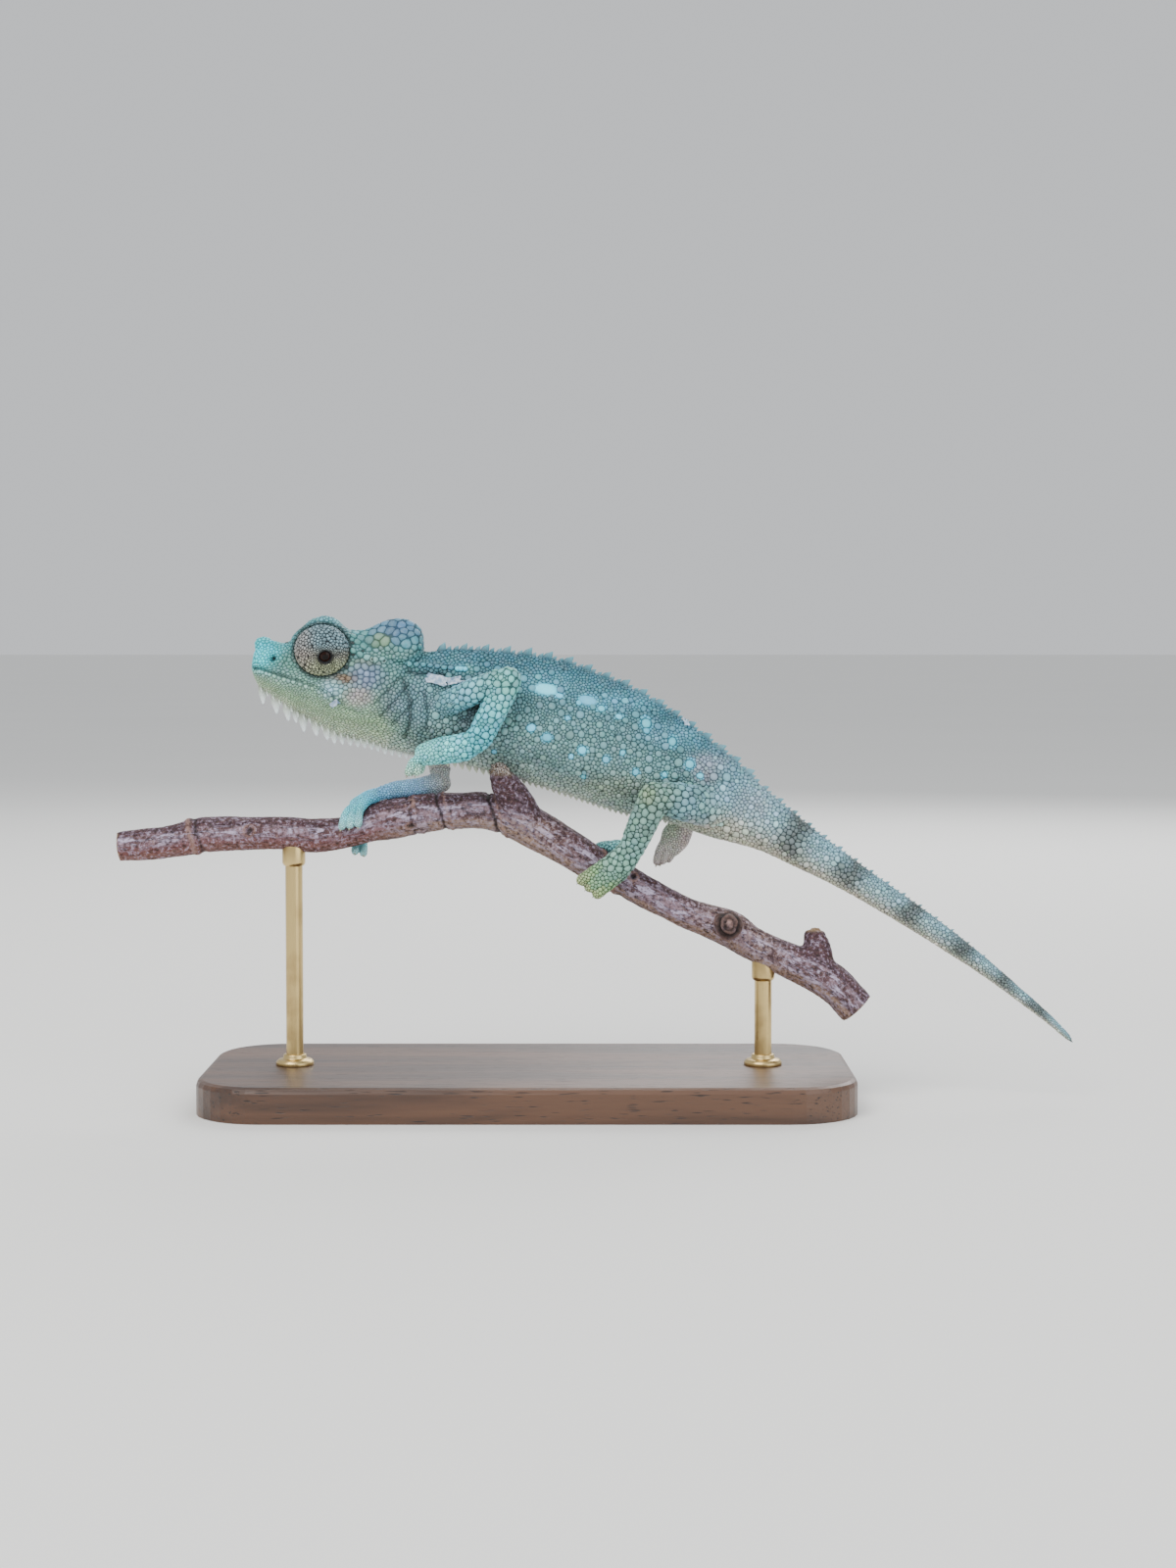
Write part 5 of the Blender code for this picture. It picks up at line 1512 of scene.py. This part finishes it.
def set_rows(ground):
    """Scales with places of their own: the spots, the ridges of the head, the lips and the odd ones."""
    found = []
    for side in (-1, 1):
        shown = [(x, z, 0.39 * (long + high), 0.16, long / high, 1.05, 1.0) for x, z, long, high in SPOTS]
        shown += [(x, z, size, 0.2, 1.0, whole, middle) for x, z, size, whole, middle in ODD_SCALES_AND_PAINTED_PITS]
        for line, step, size, height in SCALE_ROWS:
            dense = spline(line, 40)
            lengths = lengths_along(dense)
            marks = np.arange(0.0, lengths[-1], step)
            x, z = (np.interp(marks, lengths, dense[:, k]) for k in (0, 1))
            shown += [(*p, size, height, 1.1, 1.1, 1.0) for p in zip(x, z)]
        for x, z, *kind in shown:
            place = ground.beside(x, z, side)
            if place is not None:
                found.append((*place, *kind))
        for rise, size, long in LABIALS:
            for place in np.arange(0.25, 6.6, 0.36):
                depth = np.interp(place, range(len(MOUTH_DEPTHS)), MOUTH_DEPTHS)
                point = trunk_point(station(place), depth, side) + (0.0, side * 0.6, rise)
                found.append((*point, size * (0.8 + 0.03 * place), 0.13, long, 1.0, 1.0))
    found = np.array(found)
    found[:, :3] = ground.settle(found[:, :3])[0]
    found = found[Where(found[:, :3]).limb < 0]
    return found[:, :3], found[:, 3], found[:, 4], np.clip(found[:, 5], 0.8, 1.7), found[:, 6:]


def chart_of(mesh):
    """Unwraps the skin and gives the map, which places every scale's patch of colour."""
    holder = bpy.data.objects.new("skin", mesh)
    bpy.context.scene.collection.objects.link(holder)
    mesh.uv_layers.new(name="OFBake")
    bpy.context.view_layer.objects.active = holder
    holder.select_set(True)
    bpy.ops.object.mode_set(mode="EDIT")
    bpy.ops.mesh.select_all(action="SELECT")
    bpy.ops.uv.smart_project(angle_limit=math.radians(70.0), island_margin=0.004)
    bpy.ops.object.mode_set(mode="OBJECT")
    bpy.data.objects.remove(holder)
    return mesh.uv_layers["OFBake"]


def body_coat():
    """Sets every scale of the body, shapes it and joins them by region."""
    ground = Ground(skin_mesh, skin_where.lie, chart_of(skin_mesh))
    points, sizes, heights, stretch, tones_and_painted_shade = set_rows(ground)
    fixed = len(points)
    room = large_sizes(skin_where)
    ones = np.ones(len(ground.points))
    points, sizes, stretch = filled(ground, points, sizes, stretch, room, ones, 11)
    draw = np.random.default_rng(3)
    on_limb = Where(points[fixed:]).limb >= 0
    sizes[fixed:] *= draw.uniform(0.5, 0.7, len(sizes) - fixed) + 0.2 * on_limb
    large = len(points)
    small, small_stretch = coat_sizes(ground.points, skin_where)
    small = np.where(skin_openings > 0.5, 0.0, small)
    points, sizes, stretch = filled(ground, points, sizes, stretch, small, small_stretch, 12)
    points, sizes, stretch = filled(ground, points, sizes, stretch, small * 0.75, small_stretch, 13, 0.7, 4)
    points = spread(ground, points, sizes, stretch, large, 3)
    rims, rim_normals, normals, faces = outlines(ground, points, sizes, stretch, SCALE_GAP)
    where = Where(points)
    count = len(points)
    is_large = np.arange(count) < large
    height = sizes * 0.36
    height[fixed:large] = sizes[fixed:large] * 0.3
    height[:fixed] = heights
    helmet = ramp(points[:, 2], 78.0, 80.0) * ramp(points[:, 0], -43.0, -40.5) * (where.station < 12.5)
    height *= 1.0 - 0.5 * helmet
    flat = np.clip(0.58 + 0.2 * helmet + 0.1 * is_large, 0.0, 0.8)[:, None, None]
    rings = domed(points, rims, rim_normals, normals, height, SCALE_SINK, 0.42, flat)
    # Set scales whose middle, or whole, is painted dark as the shade in a pit.
    painted_dark_middle = tones_and_painted_shade[:, 1] < 0.5
    rise = height.copy()
    rise[:fixed] *= np.where(painted_dark_middle, 0.3, 1.0)
    tips = points + normals * rise[:, None]
    shade = markings(points, where)
    shade *= draw.uniform(0.8, 1.2, (count, 1)) * draw.uniform(0.94, 1.06, (count, 3))
    # Scales in the skin's creases are darkened as painted shade.
    shade *= 1.0 - 0.6 * ramp(-skin_lift[ground.faces[faces]].mean(1), 0.12, 0.45)[:, None]
    shade *= np.where(is_large, 1.16, 0.93)[:, None]
    # Brightness of the set scales, with the dark ones painted as shade in pits.
    shade[:fixed] *= tones_and_painted_shade[:, :1]
    # Each scale painted darker at its rim as shade and lighter on top as a highlight.
    shades = np.stack([shade * light for light in SCALE_PAINTED_LIGHT], axis=1)
    shades[:fixed, 3] *= tones_and_painted_shade[:, 1:]
    left = points[:, 1] < 0.0
    pitted = np.zeros(count, bool)
    pitted[:fixed] = painted_dark_middle & (sizes[:fixed] > 0.5)
    parts = {
        "pitted_scales": pitted,
        "left_arm_and_leg_scales": (where.limb >= 0) & (where.limb % 2 == 0),
        "right_arm_scales": where.limb == 1,
        "right_leg_scales": where.limb == 3,
        "tail_scales": where.station > 22.4,
        "left_flank_scales": (where.station > 12.4) & left,
        "right_flank_scales": where.station > 12.4,
        "cheek_and_neck_scales": where.station > 6.6,
        "face_scales": where.station >= 0.0,
    }
    taken = np.zeros(count, bool)
    for name, picked in parts.items():
        mine = picked & ~taken
        taken |= mine
        part, tints, shares = rings[mine], shades[mine], SCALE_SHARES
        if name == "pitted_scales":
            middle, out = points[mine, None], rims[mine] - points[mine, None]
            rise = normals[mine, None] * height[mine, None, None]
            pit = [middle + out * share + rise * high for share, high in PIT_RINGS]
            part = np.stack([part[:, 0], part[:, 1], *pit], axis=1)
            tints = np.stack([tints[:, k] * light for k, light in PIT_PAINTED_SHADE], axis=1)
            shares = PIT_SHARES
        studs(name, part, tips[mine], tints, ground.chart[faces[mine]], shares, HORN)
    return ground


HORN = scaly()
ground = body_coat()
skin_mesh.transform(Matrix.Scale(MM, 4))
skin = finished("skin", skin_mesh, living_skin())
HARD_NODES = ("perch", "stand_base", "stand_rod_front", "stand_rod_rear", "eye_left", "eye_right")
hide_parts(*[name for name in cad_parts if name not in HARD_NODES])

# The crests
# Rows of soft pointed scales edge the animal: raked teal cones along the back and tail, long whitish ones
# under the jaw, and short pale ones under the belly. Each is rooted in the skin.

CREST_SUNK = 0.45
# A cone's rings: how high each lies, and how wide it is on a sharp and on a blunt cone, as shares.
CREST_LEVELS = (0.0, 0.32, 0.62, 0.86)
SHARP = (1.0, 0.74, 0.42, 0.18)
BLUNT = (1.0, 0.78, 0.5, 0.26)
CREST_SHARES = (1.0, 0.9, 0.65, 0.4, 0.2)
# The cones under the jaw: where along the body each hangs, its height and its half length at the skin.
GULAR_ROW = (
    (-58.1, 2.7, 0.90),
    (-55.8, 2.7, 1.02),
    (-53.8, 2.6, 1.00),
    (-52.4, 2.0, 0.77),
    (-51.1, 2.8, 1.02),
    (-48.9, 2.2, 1.00),
    (-47.0, 1.8, 0.92),
    (-45.8, 1.9, 0.90),
    (-44.4, 1.55, 0.79),
    (-43.0, 1.4, 0.79),
    (-41.7, 1.3, 0.77),
    (-40.5, 1.25, 0.74),
    (-39.3, 1.2, 0.74),
    (-38.2, 1.15, 0.72),
    (-37.0, 1.2, 0.72),
    (-35.8, 1.1, 0.72),
    (-34.5, 1.15, 0.72),
    (-33.3, 1.05, 0.69),
    (-32.2, 1.0, 0.69),
)
# Height, half length along the body and half width, at the skin. The fringe stands beside the throat's
# row on both sides.
FRINGE_CONE = (2.6, 0.8, 0.55)
DORSAL_CONE = (1.5, 1.1, 0.55)
VENTRAL_CONE = (0.85, 0.55, 0.4)
FRINGE_ASIDE = 1.4
CREST_BLUE = seen(96, 162, 176)
GULAR_WHITE = seen(240, 250, 255)
VENTRAL_CREAM = seen(204, 208, 180)


def walk(first, last, edge, steps):
    """Places along the back, for edge 0, or the belly, for edge 1, whose spacing changes evenly."""
    places = np.linspace(first, last, 500)
    points = np.array([trunk_point(station(p), edge, 1) for p in places])
    lengths = lengths_along(points)
    marks = [0.4]
    while marks[-1] < lengths[-1] - 0.4:
        marks.append(marks[-1] + steps[0] + (steps[1] - steps[0]) * marks[-1] / lengths[-1])
    return np.interp(marks[:-1], lengths, places)


def crest(name, places, edge, sizes, lean, widths, shades, aside=0.0):
    """One row of cones, each with its size and shades. Those below hang straight down, plus the lean."""
    rings, tips, roots = [], [], []
    turns = SCALE_TURNS[:, None]
    for place, (height, long, wide) in zip(places, sizes):
        row = station(place)
        depth = abs(edge - 0.012 * abs(aside))
        here = trunk_point(row, depth, 1 if aside >= 0.0 else -1, -COAT_DEPTH)
        along = trunk_point(station(place + 0.05), edge, 1) - trunk_point(station(place), edge, 1)
        along /= np.linalg.norm(along)
        out = trunk_frame(row)[1] * (1.0 - 2.0 * edge) + np.array((0.0, 0.35 * aside, 0.0))
        out -= along * np.dot(out, along)
        out /= np.linalg.norm(out)
        across = np.cross(out, along)
        height += COAT_DEPTH
        tilt = lean + edge * along[2] / out[2]
        height /= math.hypot(1.0, tilt)
        way = (out + along * tilt) / math.hypot(1.0, tilt)
        fore = along - way * np.dot(along, way)
        fore /= np.linalg.norm(fore)
        sideways = across * np.sin(turns) * wide
        cone = [here - out * CREST_SUNK + (along * np.cos(turns) * long + sideways) * 1.05]
        for level, width in zip(CREST_LEVELS, widths):
            middle = here + (out + along * tilt) * height * level
            ahead = along if level == 0.0 else fore
            cone.append(middle + ahead * np.cos(turns) * long * width + sideways * width)
        rings.append(cone)
        tips.append(here + out * height + along * tilt * height)
        roots.append(here)
    _, faces = ground.settle(np.array(roots))
    spots = ground.chart[faces]
    return studs(name, np.array(rings), np.array(tips), shades, spots, CREST_SHARES, HORN)


def graded(shape, count, first, last, seed):
    """Cone sizes that change evenly from a first to a last share of a shape, each a little different."""
    draw = np.random.default_rng(seed)
    shares = np.linspace(first, last, count)[:, None] * draw.uniform(0.88, 1.1, (count, 1))
    return np.array(shape) * shares * draw.uniform(0.94, 1.06, (count, 3))


def cone_shades(places, edge, tip_shade, strength):
    """Each cone runs from the skin's colour, with painted shade at its foot, to its tip's colour with
    painted light.
    """
    points = np.array([trunk_point(station(p), edge, 1) for p in places])
    foot = markings(points, Where(points))
    # Painted shade at the cone's foot, where it meets the skin.
    steps = [foot * 0.3, foot * 0.6]
    for share in (0.5, 0.8, 1.0, 1.08):
        mask = np.full(len(foot), min(share, 1.0) * strength)
        steps.append(mixed(foot, tip_shade, mask) * (0.7 + 0.35 * share))
    return np.stack(steps, axis=1)


def dorsal_crest(name, first, last, steps, shares, seed):
    """A row along the back, with two low cones after each tall one."""
    places = walk(first, last, 0, steps)
    sizes = graded(DORSAL_CONE, len(places), *shares, seed)
    tall = np.arange(len(places)) % 3 == 0
    sizes[~tall] *= (0.5, 0.55, 0.8)
    crest(name, places, 0, sizes, 0.6, SHARP, cone_shades(places, 0, CREST_BLUE, 0.8))


dorsal_crest("back_crest", NECK_START + 1.1, TAIL_START, (1.25, 1.05), (0.85, 0.8), 21)
dorsal_crest("tail_crest", TAIL_START + 0.15, TAIL_END - 3.0, (1.1, 1.2), (0.52, 0.2), 22)
jaw_places = np.linspace(0.0, TORSO_START, 600)
jaw = [trunk_point(station(p), 1, 1)[0] for p in jaw_places]
gular_places = np.interp([row[0] for row in GULAR_ROW], jaw, jaw_places)
gular_sizes = np.array([(height, long, 0.5 * long) for _, height, long in GULAR_ROW])
gular_shades = cone_shades(gular_places, 1, GULAR_WHITE, 0.95)
crest("throat_crest", gular_places, 1, gular_sizes, 0.12, BLUNT, gular_shades)
for side, name in ((-1.0, "left"), (1.0, "right")):
    places = walk(1.1, NECK_START, 1, (1.3, 1.1))
    sizes = graded(FRINGE_CONE, len(places), 0.36, 0.26, 25)
    fringe_shades = cone_shades(places, 1, GULAR_WHITE, 0.6)
    crest(f"throat_fringe_{name}", places, 1, sizes, 0.2, BLUNT, fringe_shades, side * FRINGE_ASIDE)
chest_places = walk(TORSO_START, TORSO_START + 2.2, 1, (1.3, 1.2))
under_places = walk(TORSO_START + 2.2, TORSO_START + 8.5, 1, (1.1, 0.95))
belly_places = np.concatenate([chest_places, under_places])
chest_sizes = graded(VENTRAL_CONE, len(chest_places), 1.0, 1.1, 26)
belly_sizes = np.vstack([chest_sizes, graded(VENTRAL_CONE, len(under_places), 0.62, 0.42, 27)])
belly_sizes[:, 1] = np.maximum(belly_sizes[:, 1], 0.46)
belly_shades = cone_shades(belly_places, 1, VENTRAL_CREAM, 0.8)
crest("belly_crest", belly_places, 1, belly_sizes, 0.15, SHARP, belly_shades)

# The claws
# Each toe ends in one short curved claw of horn, pale at its root and brown towards its point, streaked
# with dirt along its length. It grows out of the toe's tip.

CLAW_LENGTH = 0.22
CLAW_RADIUS = 0.18
CLAW_ROOT = seen(186, 186, 162)
CLAW_POINT = seen(130, 116, 92)
CLAW_DIRT = (0.05, 0.035, 0.025)
CLAW_LEVELS = (-0.35, 0.0, 0.3, 0.6, 0.85)  # where its rings lie, from its root at 0 to its point at 1
CLAW_SHARES = (1.0, 0.8, 0.6, 0.4, 0.2)


def claws():
    rings, tips = [], []
    turns = SCALE_TURNS[:, None]
    for limb in range(len(LIMBS)):
        for line in toe_lines(limb):
            way = (line[-1] - line[-2]) / np.linalg.norm(line[-1] - line[-2])
            root = line[-1] + way * TOE_TIPS[limb] * 0.6
            reach = way * (TOE_TIPS[limb] * 0.4 + CLAW_LENGTH * 0.6)
            drop = np.array((0.0, 0.0, -CLAW_LENGTH * 0.35))
            side = np.cross(way, (1.0, 0.3, 0.2))
            side /= np.linalg.norm(side)
            other = np.cross(way, side)
            claw = []
            for level in CLAW_LEVELS:
                size = CLAW_RADIUS * (1.0 - max(level, 0.0)) ** 0.7
                middle = root + reach * level + drop * level * abs(level)
                claw.append(middle + (side * np.cos(turns) * 0.75 + other * np.sin(turns)) * size)
            rings.append(claw)
            tips.append(root + reach + drop)
    shades = [CLAW_ROOT * 0.7, CLAW_ROOT, CLAW_ROOT, (CLAW_ROOT + CLAW_POINT) / 2, CLAW_POINT, CLAW_POINT]
    shades = np.tile(np.array(shades), (len(tips), 1, 1))
    _, faces = ground.settle(np.array(tips))
    made = Finish("claw horn", {"Coat Weight": 0.4, "Coat Roughness": 0.12})
    shade = made.add("Attribute", {"attribute_name": "shade"}, {})
    streaks = made.cloud(made.scaled(made.place(), (900.0, 900.0, 5200.0)), 1.0, 2.0)
    shade = made.blend(streaks * 0.4, shade, CLAW_DIRT)
    horn = made.done(shade, streaks, 0.00003, 0.3 + 0.15 * streaks)
    spots = ground.chart[faces]
    studs("claws", np.array(rings), np.array(tips), shades, spots, CLAW_SHARES, horn)


claws()

# The eyes
# Each eye is a turret: lids fused into a dome of grey brown granules that leaves one small opening, with
# the glossy dark eyeball behind it. The granules are finest at the opening's rim.

GAZE = (0.2, 0.93, -0.3)
OPENING = 0.29  # the opening's half angle at the turret's middle
LID_BROWN = seen(136, 136, 124)
LID_BLUE = seen(104, 142, 156)
LID_OLIVE = seen(168, 178, 136)
LID_PINK = seen(156, 144, 138)
LID_PAINTED_SHADE = seen(34, 26, 20)
EYEBALL_RADIUS = 1.6
EYEBALL_DEPTH = 0.36  # how far the eyeball's front lies behind the turret's outline
IRIS = seen(40, 20, 15)
PUPIL = seen(10, 8, 8)
EYE_RIM = seen(40, 28, 20)  # round the iris, under the lids
EYEBALL_FIBRES = (0.02, 0.012, 0.008)
TURRET_SIDES = 108
EYEBALL_SIDES = 96
TURRET_INSET = 0.12  # the lids lie this far inside the solid, for their granules
GRANULE_SINK = 0.06
GRANULE_GAP = 0.035
# Painted shade at each granule's rim and a painted highlight on its top.
GRANULE_PAINTED_LIGHT = (0.15, 0.6, 1.1, 1.3)
LID_CHART = 0.15  # share of the coat's colour map for each radian from the opening


def dome(way, sides):
    """A ball of radius 1 with its pole at the gaze, its points, their angles from it, and its axes."""
    shape = bmesh.new()
    bmesh.ops.create_uvsphere(shape, u_segments=sides, v_segments=sides * 2 // 3, radius=1.0)
    sort_faces(shape)
    turn = way.to_track_quat("Z", "Y").to_matrix()
    bmesh.ops.rotate(shape, verts=shape.verts, matrix=turn)
    mesh = bpy.data.meshes.new("dome")
    shape.to_mesh(mesh)
    shape.free()
    unit = read(mesh)
    angle = np.arccos(np.clip(unit @ np.array(way), -1.0, 1.0))
    return mesh, unit, angle, np.array([turn.col[0], turn.col[1]])


def gaze(side):
    return Vector((GAZE[0], side * GAZE[1], GAZE[2])).normalized()


def turret(name, side):
    """The fused lids of one eye and the granules on them."""
    way = gaze(side)
    mesh, unit, angle, axes = dome(way, TURRET_SIDES)
    level = unit[:, 2] - way.z
    swell = 0.035 * bell(angle, 0.37, 0.06) - 0.2 * ramp(angle, OPENING, OPENING - 0.08)
    swell += 0.006 * np.sin(angle * 55.0) * ramp(angle, 0.3, 0.4)
    crease = bell(level, 0.1, 0.025) * ramp(angle, 0.2, 0.26) * ramp(angle, 0.58, 0.46)
    swell -= 0.035 * crease
    size = np.array(EYE_SIZE) - TURRET_INSET
    points = np.array(EYE_CENTRE) * (1.0, side, 1.0) + unit * size * (1.0 + swell)[:, None]
    move(mesh, points)
    lies = unit - np.array(way) * (unit @ np.array(way))[:, None]
    lies /= np.maximum(np.linalg.norm(lies, axis=1), 1e-3)[:, None]
    # Painted shade in the opening's pit and in the slit where the lids meet.
    dark = ramp(angle, 0.34, 0.29) + crease
    shade = mixed(np.tile(LID_BROWN, (len(points), 1)), LID_BLUE, 0.85 * ramp(level, 0.05, 0.6))
    shade = mixed(shade, LID_OLIVE, 0.7 * ramp(level, 0.1, -0.3))
    shade = mixed(shade, LID_PINK, 0.6 * ramp(axes[0] @ unit.T * -np.sign(axes[0][0]), 0.25, 0.8))
    shade *= (1.0 + 0.3 * clouds(points, 1.4, 71.0) + 0.3 * clouds(points, 0.6, 77.0))[:, None]
    shade = mixed(shade, LID_PAINTED_SHADE, np.clip(dark, 0.0, 1.0))
    # The lid's skin shows between the granules: painted dark as shade there, and less dark past them.
    lid_skin_painted_shade = mixed(shade * 0.1, shade * 0.35, ramp(angle, 1.6, 1.8))
    lid_ground = Ground(mesh, lies)
    sizes = np.interp(angle, (0.31, 0.4, 0.7, 1.2), (0.12, 0.16, 0.28, 0.34))
    sizes = np.where((angle < 0.3) | (angle > 1.75), 0.0, sizes)
    none = np.zeros(0)
    stretch = np.full(len(points), 0.85)
    places, sizes, stretch = filled(lid_ground, none, none, none, sizes, stretch, 31)
    rims, rim_normals, normals, _ = outlines(lid_ground, places, sizes, stretch, GRANULE_GAP)
    near = nearest(places, points)
    height = sizes * 0.42
    rings = domed(places, rims, rim_normals, normals, height, GRANULE_SINK, 0.45, 0.6)
    tips = places + normals * height[:, None]
    draw = np.random.default_rng(33)
    granule = shade[near] * draw.uniform(0.62, 1.3, (len(places), 1))
    # Each granule painted darker at its rim as shade and lighter on top as a highlight.
    shades = np.stack([granule * light for light in GRANULE_PAINTED_LIGHT], axis=1)
    flat = (unit @ axes.T) * (angle / np.maximum(np.sin(angle), 0.01))[:, None]
    roots = 0.5 + flat[near] * LID_CHART
    studs(f"lid_granules_{name}", rings, tips, shades, roots, SCALE_SHARES, HORN)
    paint(mesh, "shade", lid_skin_painted_shade)
    mesh.transform(Matrix.Scale(MM, 4))
    lid = finished(f"eye_turret_{name}", mesh, living_skin())
    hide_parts(f"eye_{name}")


def eyeball(name, side):
    way = gaze(side)
    outer = np.array(EYE_CENTRE) * (1.0, side, 1.0) + np.array(way) * EYE_SIZE
    mesh, unit, angle, _ = dome(way, EYEBALL_SIDES)
    move(mesh, outer - np.array(way) * (EYEBALL_RADIUS + EYEBALL_DEPTH) + unit * EYEBALL_RADIUS)
    on_iris = ramp(angle, 0.3, 0.36) * ramp(angle, 0.66, 0.6)
    shade = mixed(np.tile(PUPIL, (len(unit), 1)), IRIS, on_iris)
    paint(mesh, "shade", mixed(shade, EYE_RIM, ramp(angle, 0.6, 0.66)))
    mesh.transform(Matrix.Scale(MM, 4))
    made = Finish("eyeball", {"Roughness": 0.08, "Specular IOR Level": 0.16})
    shade = made.add("Attribute", {"attribute_name": "shade"}, {})
    fibres = made.cloud(made.place(), 5000.0, 2.0)
    wet = made.done(made.blend(fibres * 0.4, shade, EYEBALL_FIBRES))
    finished(f"eyeball_{name}", mesh, wet)


for name, side in (("left", -1), ("right", 1)):
    turret(name, side)
    eyeball(name, side)

# The shed skin
# Scraps of old skin still cling to the mouth's corner, the neck and the back: white, papery and curled.
# Each is a torn sheet that lies on the scales and lifts at its edges.

# Each scrap: x, y, z near it, half length, half width and turn in the skin.
SCRAPS = (
    (-45.0, -5.0, 69.2, 1.2, 0.55, 0.55),
    (-27.6, -5.0, 73.5, 2.3, 0.95, -0.1),
    (-24.7, -5.0, 73.3, 1.5, 0.75, 0.35),
    (-23.4, -5.5, 74.0, 0.7, 0.55, 1.0),
    (15.6, -1.2, 66.4, 1.0, 0.55, -1.0),
)
SCRAP_BLUE = (0.24, 0.38, 0.54)
SCRAP_WHITE = (0.62, 0.72, 0.84)
SCRAP_THICKNESS = 0.06


def scraps():
    shape = bmesh.new()
    for k, (x, y, z, long, wide, turn) in enumerate(SCRAPS):
        place, faces = ground.settle(np.array([(x, y, z)]))
        normal = ground.normal(faces)[0]
        along = ground.lies[ground.faces[faces[0], 0]]
        along = along - normal * np.dot(along, normal)
        along /= np.linalg.norm(along)
        across = np.cross(normal, along)
        east = along * math.cos(turn) + across * math.sin(turn)
        north = across * math.cos(turn) - along * math.sin(turn)
        grid = bmesh.ops.create_grid(shape, x_segments=14, y_segments=10, size=1.0)["verts"]
        for vert in grid:
            u, v = vert.co.x, vert.co.y
            edge = 0.8 + 0.3 * noise.noise(Vector((2.2 * u, 2.2 * v, 9.0 * k)))
            edge += 0.08 * noise.noise(Vector((5 * u, 5 * v, k)))
            spot = place[0] + east * (u * long * edge) + north * (v * wide * edge)
            under, under_faces = ground.settle(spot[None])
            curl = 0.22 + 0.3 * max(abs(u), abs(v)) ** 4
            curl += 0.14 * noise.noise(Vector((3 * u, 3 * v, 5.0 + k)))
            vert.co = Vector(under[0] + ground.normal(under_faces)[0] * curl)
    bmesh.ops.scale(shape, verts=shape.verts, vec=(MM, MM, MM))
    mesh = bpy.data.meshes.new("shed_skin")
    shape.to_mesh(mesh)
    shape.free()
    made = Finish("shed skin", {"Roughness": 0.55})
    creases = made.cloud(made.place(), 1500.0, 4.0, 0.6, 0.5)
    shade = made.blend(creases.within(0.38, 0.62), SCRAP_BLUE, SCRAP_WHITE)
    piece = finished("shed_skin", mesh, made.done(shade, creases, 0.00012))
    wall = piece.modifiers.new("thickness", "SOLIDIFY")
    wall.thickness = SCRAP_THICKNESS * MM
    wall.offset = 0.0


scraps()

# The studio
# A plain pale floor, a large soft light from the upper left, weaker ones from the right and from behind,
# and a camera square to the animal's side, a little above it, as in the photograph.

CAMERA_TARGET = (-1.7, 0.0, 55.0)
CAMERA_DISTANCE = 450.0
CAMERA_HEIGHT = math.radians(3.0)
FRAME_HEIGHT = 272.0  # of the photograph at the animal's plane
SENSOR = 36.0
FLOOR_SIZE = 60.0  # in metres
FLOOR_SHADES = ((0.82, 0.82, 0.8), (0.86, 0.86, 0.84))
# Name, place in metres, size, power and colour.
LIGHTS = (
    ("key", (-0.35, -0.5, 0.75), 0.6, 7.5, (1.0, 0.98, 0.95)),
    ("fill", (0.6, -0.55, 0.3), 0.7, 3.0, (0.95, 0.98, 1.0)),
    ("back", (0.2, 0.6, 0.5), 0.5, 4.0, (1.0, 1.0, 1.0)),
)
WORLD_COLOUR = (0.9, 0.92, 0.95, 1.0)
WORLD_STRENGTH = 0.8


def studio():
    shape = bmesh.new()
    bmesh.ops.create_grid(shape, x_segments=1, y_segments=1, size=FLOOR_SIZE / 2)
    mesh = bpy.data.meshes.new("floor")
    shape.to_mesh(mesh)
    shape.free()
    floor = bpy.data.objects.new("floor", mesh)
    bpy.context.scene.collection.objects.link(floor)
    made = Finish("floor", {"Roughness": 0.9})
    shade = made.blend(made.cloud(made.place(), 3.0), *FLOOR_SHADES)
    mesh.materials.append(made.done(shade))
    target = Vector(CAMERA_TARGET) * MM
    for name, place, size, power, colour in LIGHTS:
        lamp = bpy.data.lights.new(name, "AREA")
        lamp.size = size
        lamp.energy = power
        lamp.color = colour
        light = bpy.data.objects.new(name, lamp)
        light.location = place
        light.rotation_euler = (Vector(place) - target).to_track_quat("Z", "Y").to_euler()
        bpy.context.scene.collection.objects.link(light)
    world = bpy.data.worlds.new("studio")
    world.use_nodes = True
    sky = world.node_tree.nodes["Background"]
    sky.inputs["Color"].default_value = WORLD_COLOUR
    sky.inputs["Strength"].default_value = WORLD_STRENGTH
    bpy.context.scene.world = world
    camera = bpy.data.objects.new("camera", bpy.data.cameras.new("camera"))
    camera.data.sensor_width = SENSOR
    camera.data.lens = SENSOR * CAMERA_DISTANCE / FRAME_HEIGHT
    camera.data.clip_start = 0.01
    back = Vector((0.0, -math.cos(CAMERA_HEIGHT), math.sin(CAMERA_HEIGHT)))
    camera.location = target + back * CAMERA_DISTANCE * MM
    camera.rotation_euler = back.to_track_quat("Z", "Y").to_euler()
    bpy.context.scene.collection.objects.link(camera)
    bpy.context.scene.camera = camera


studio()
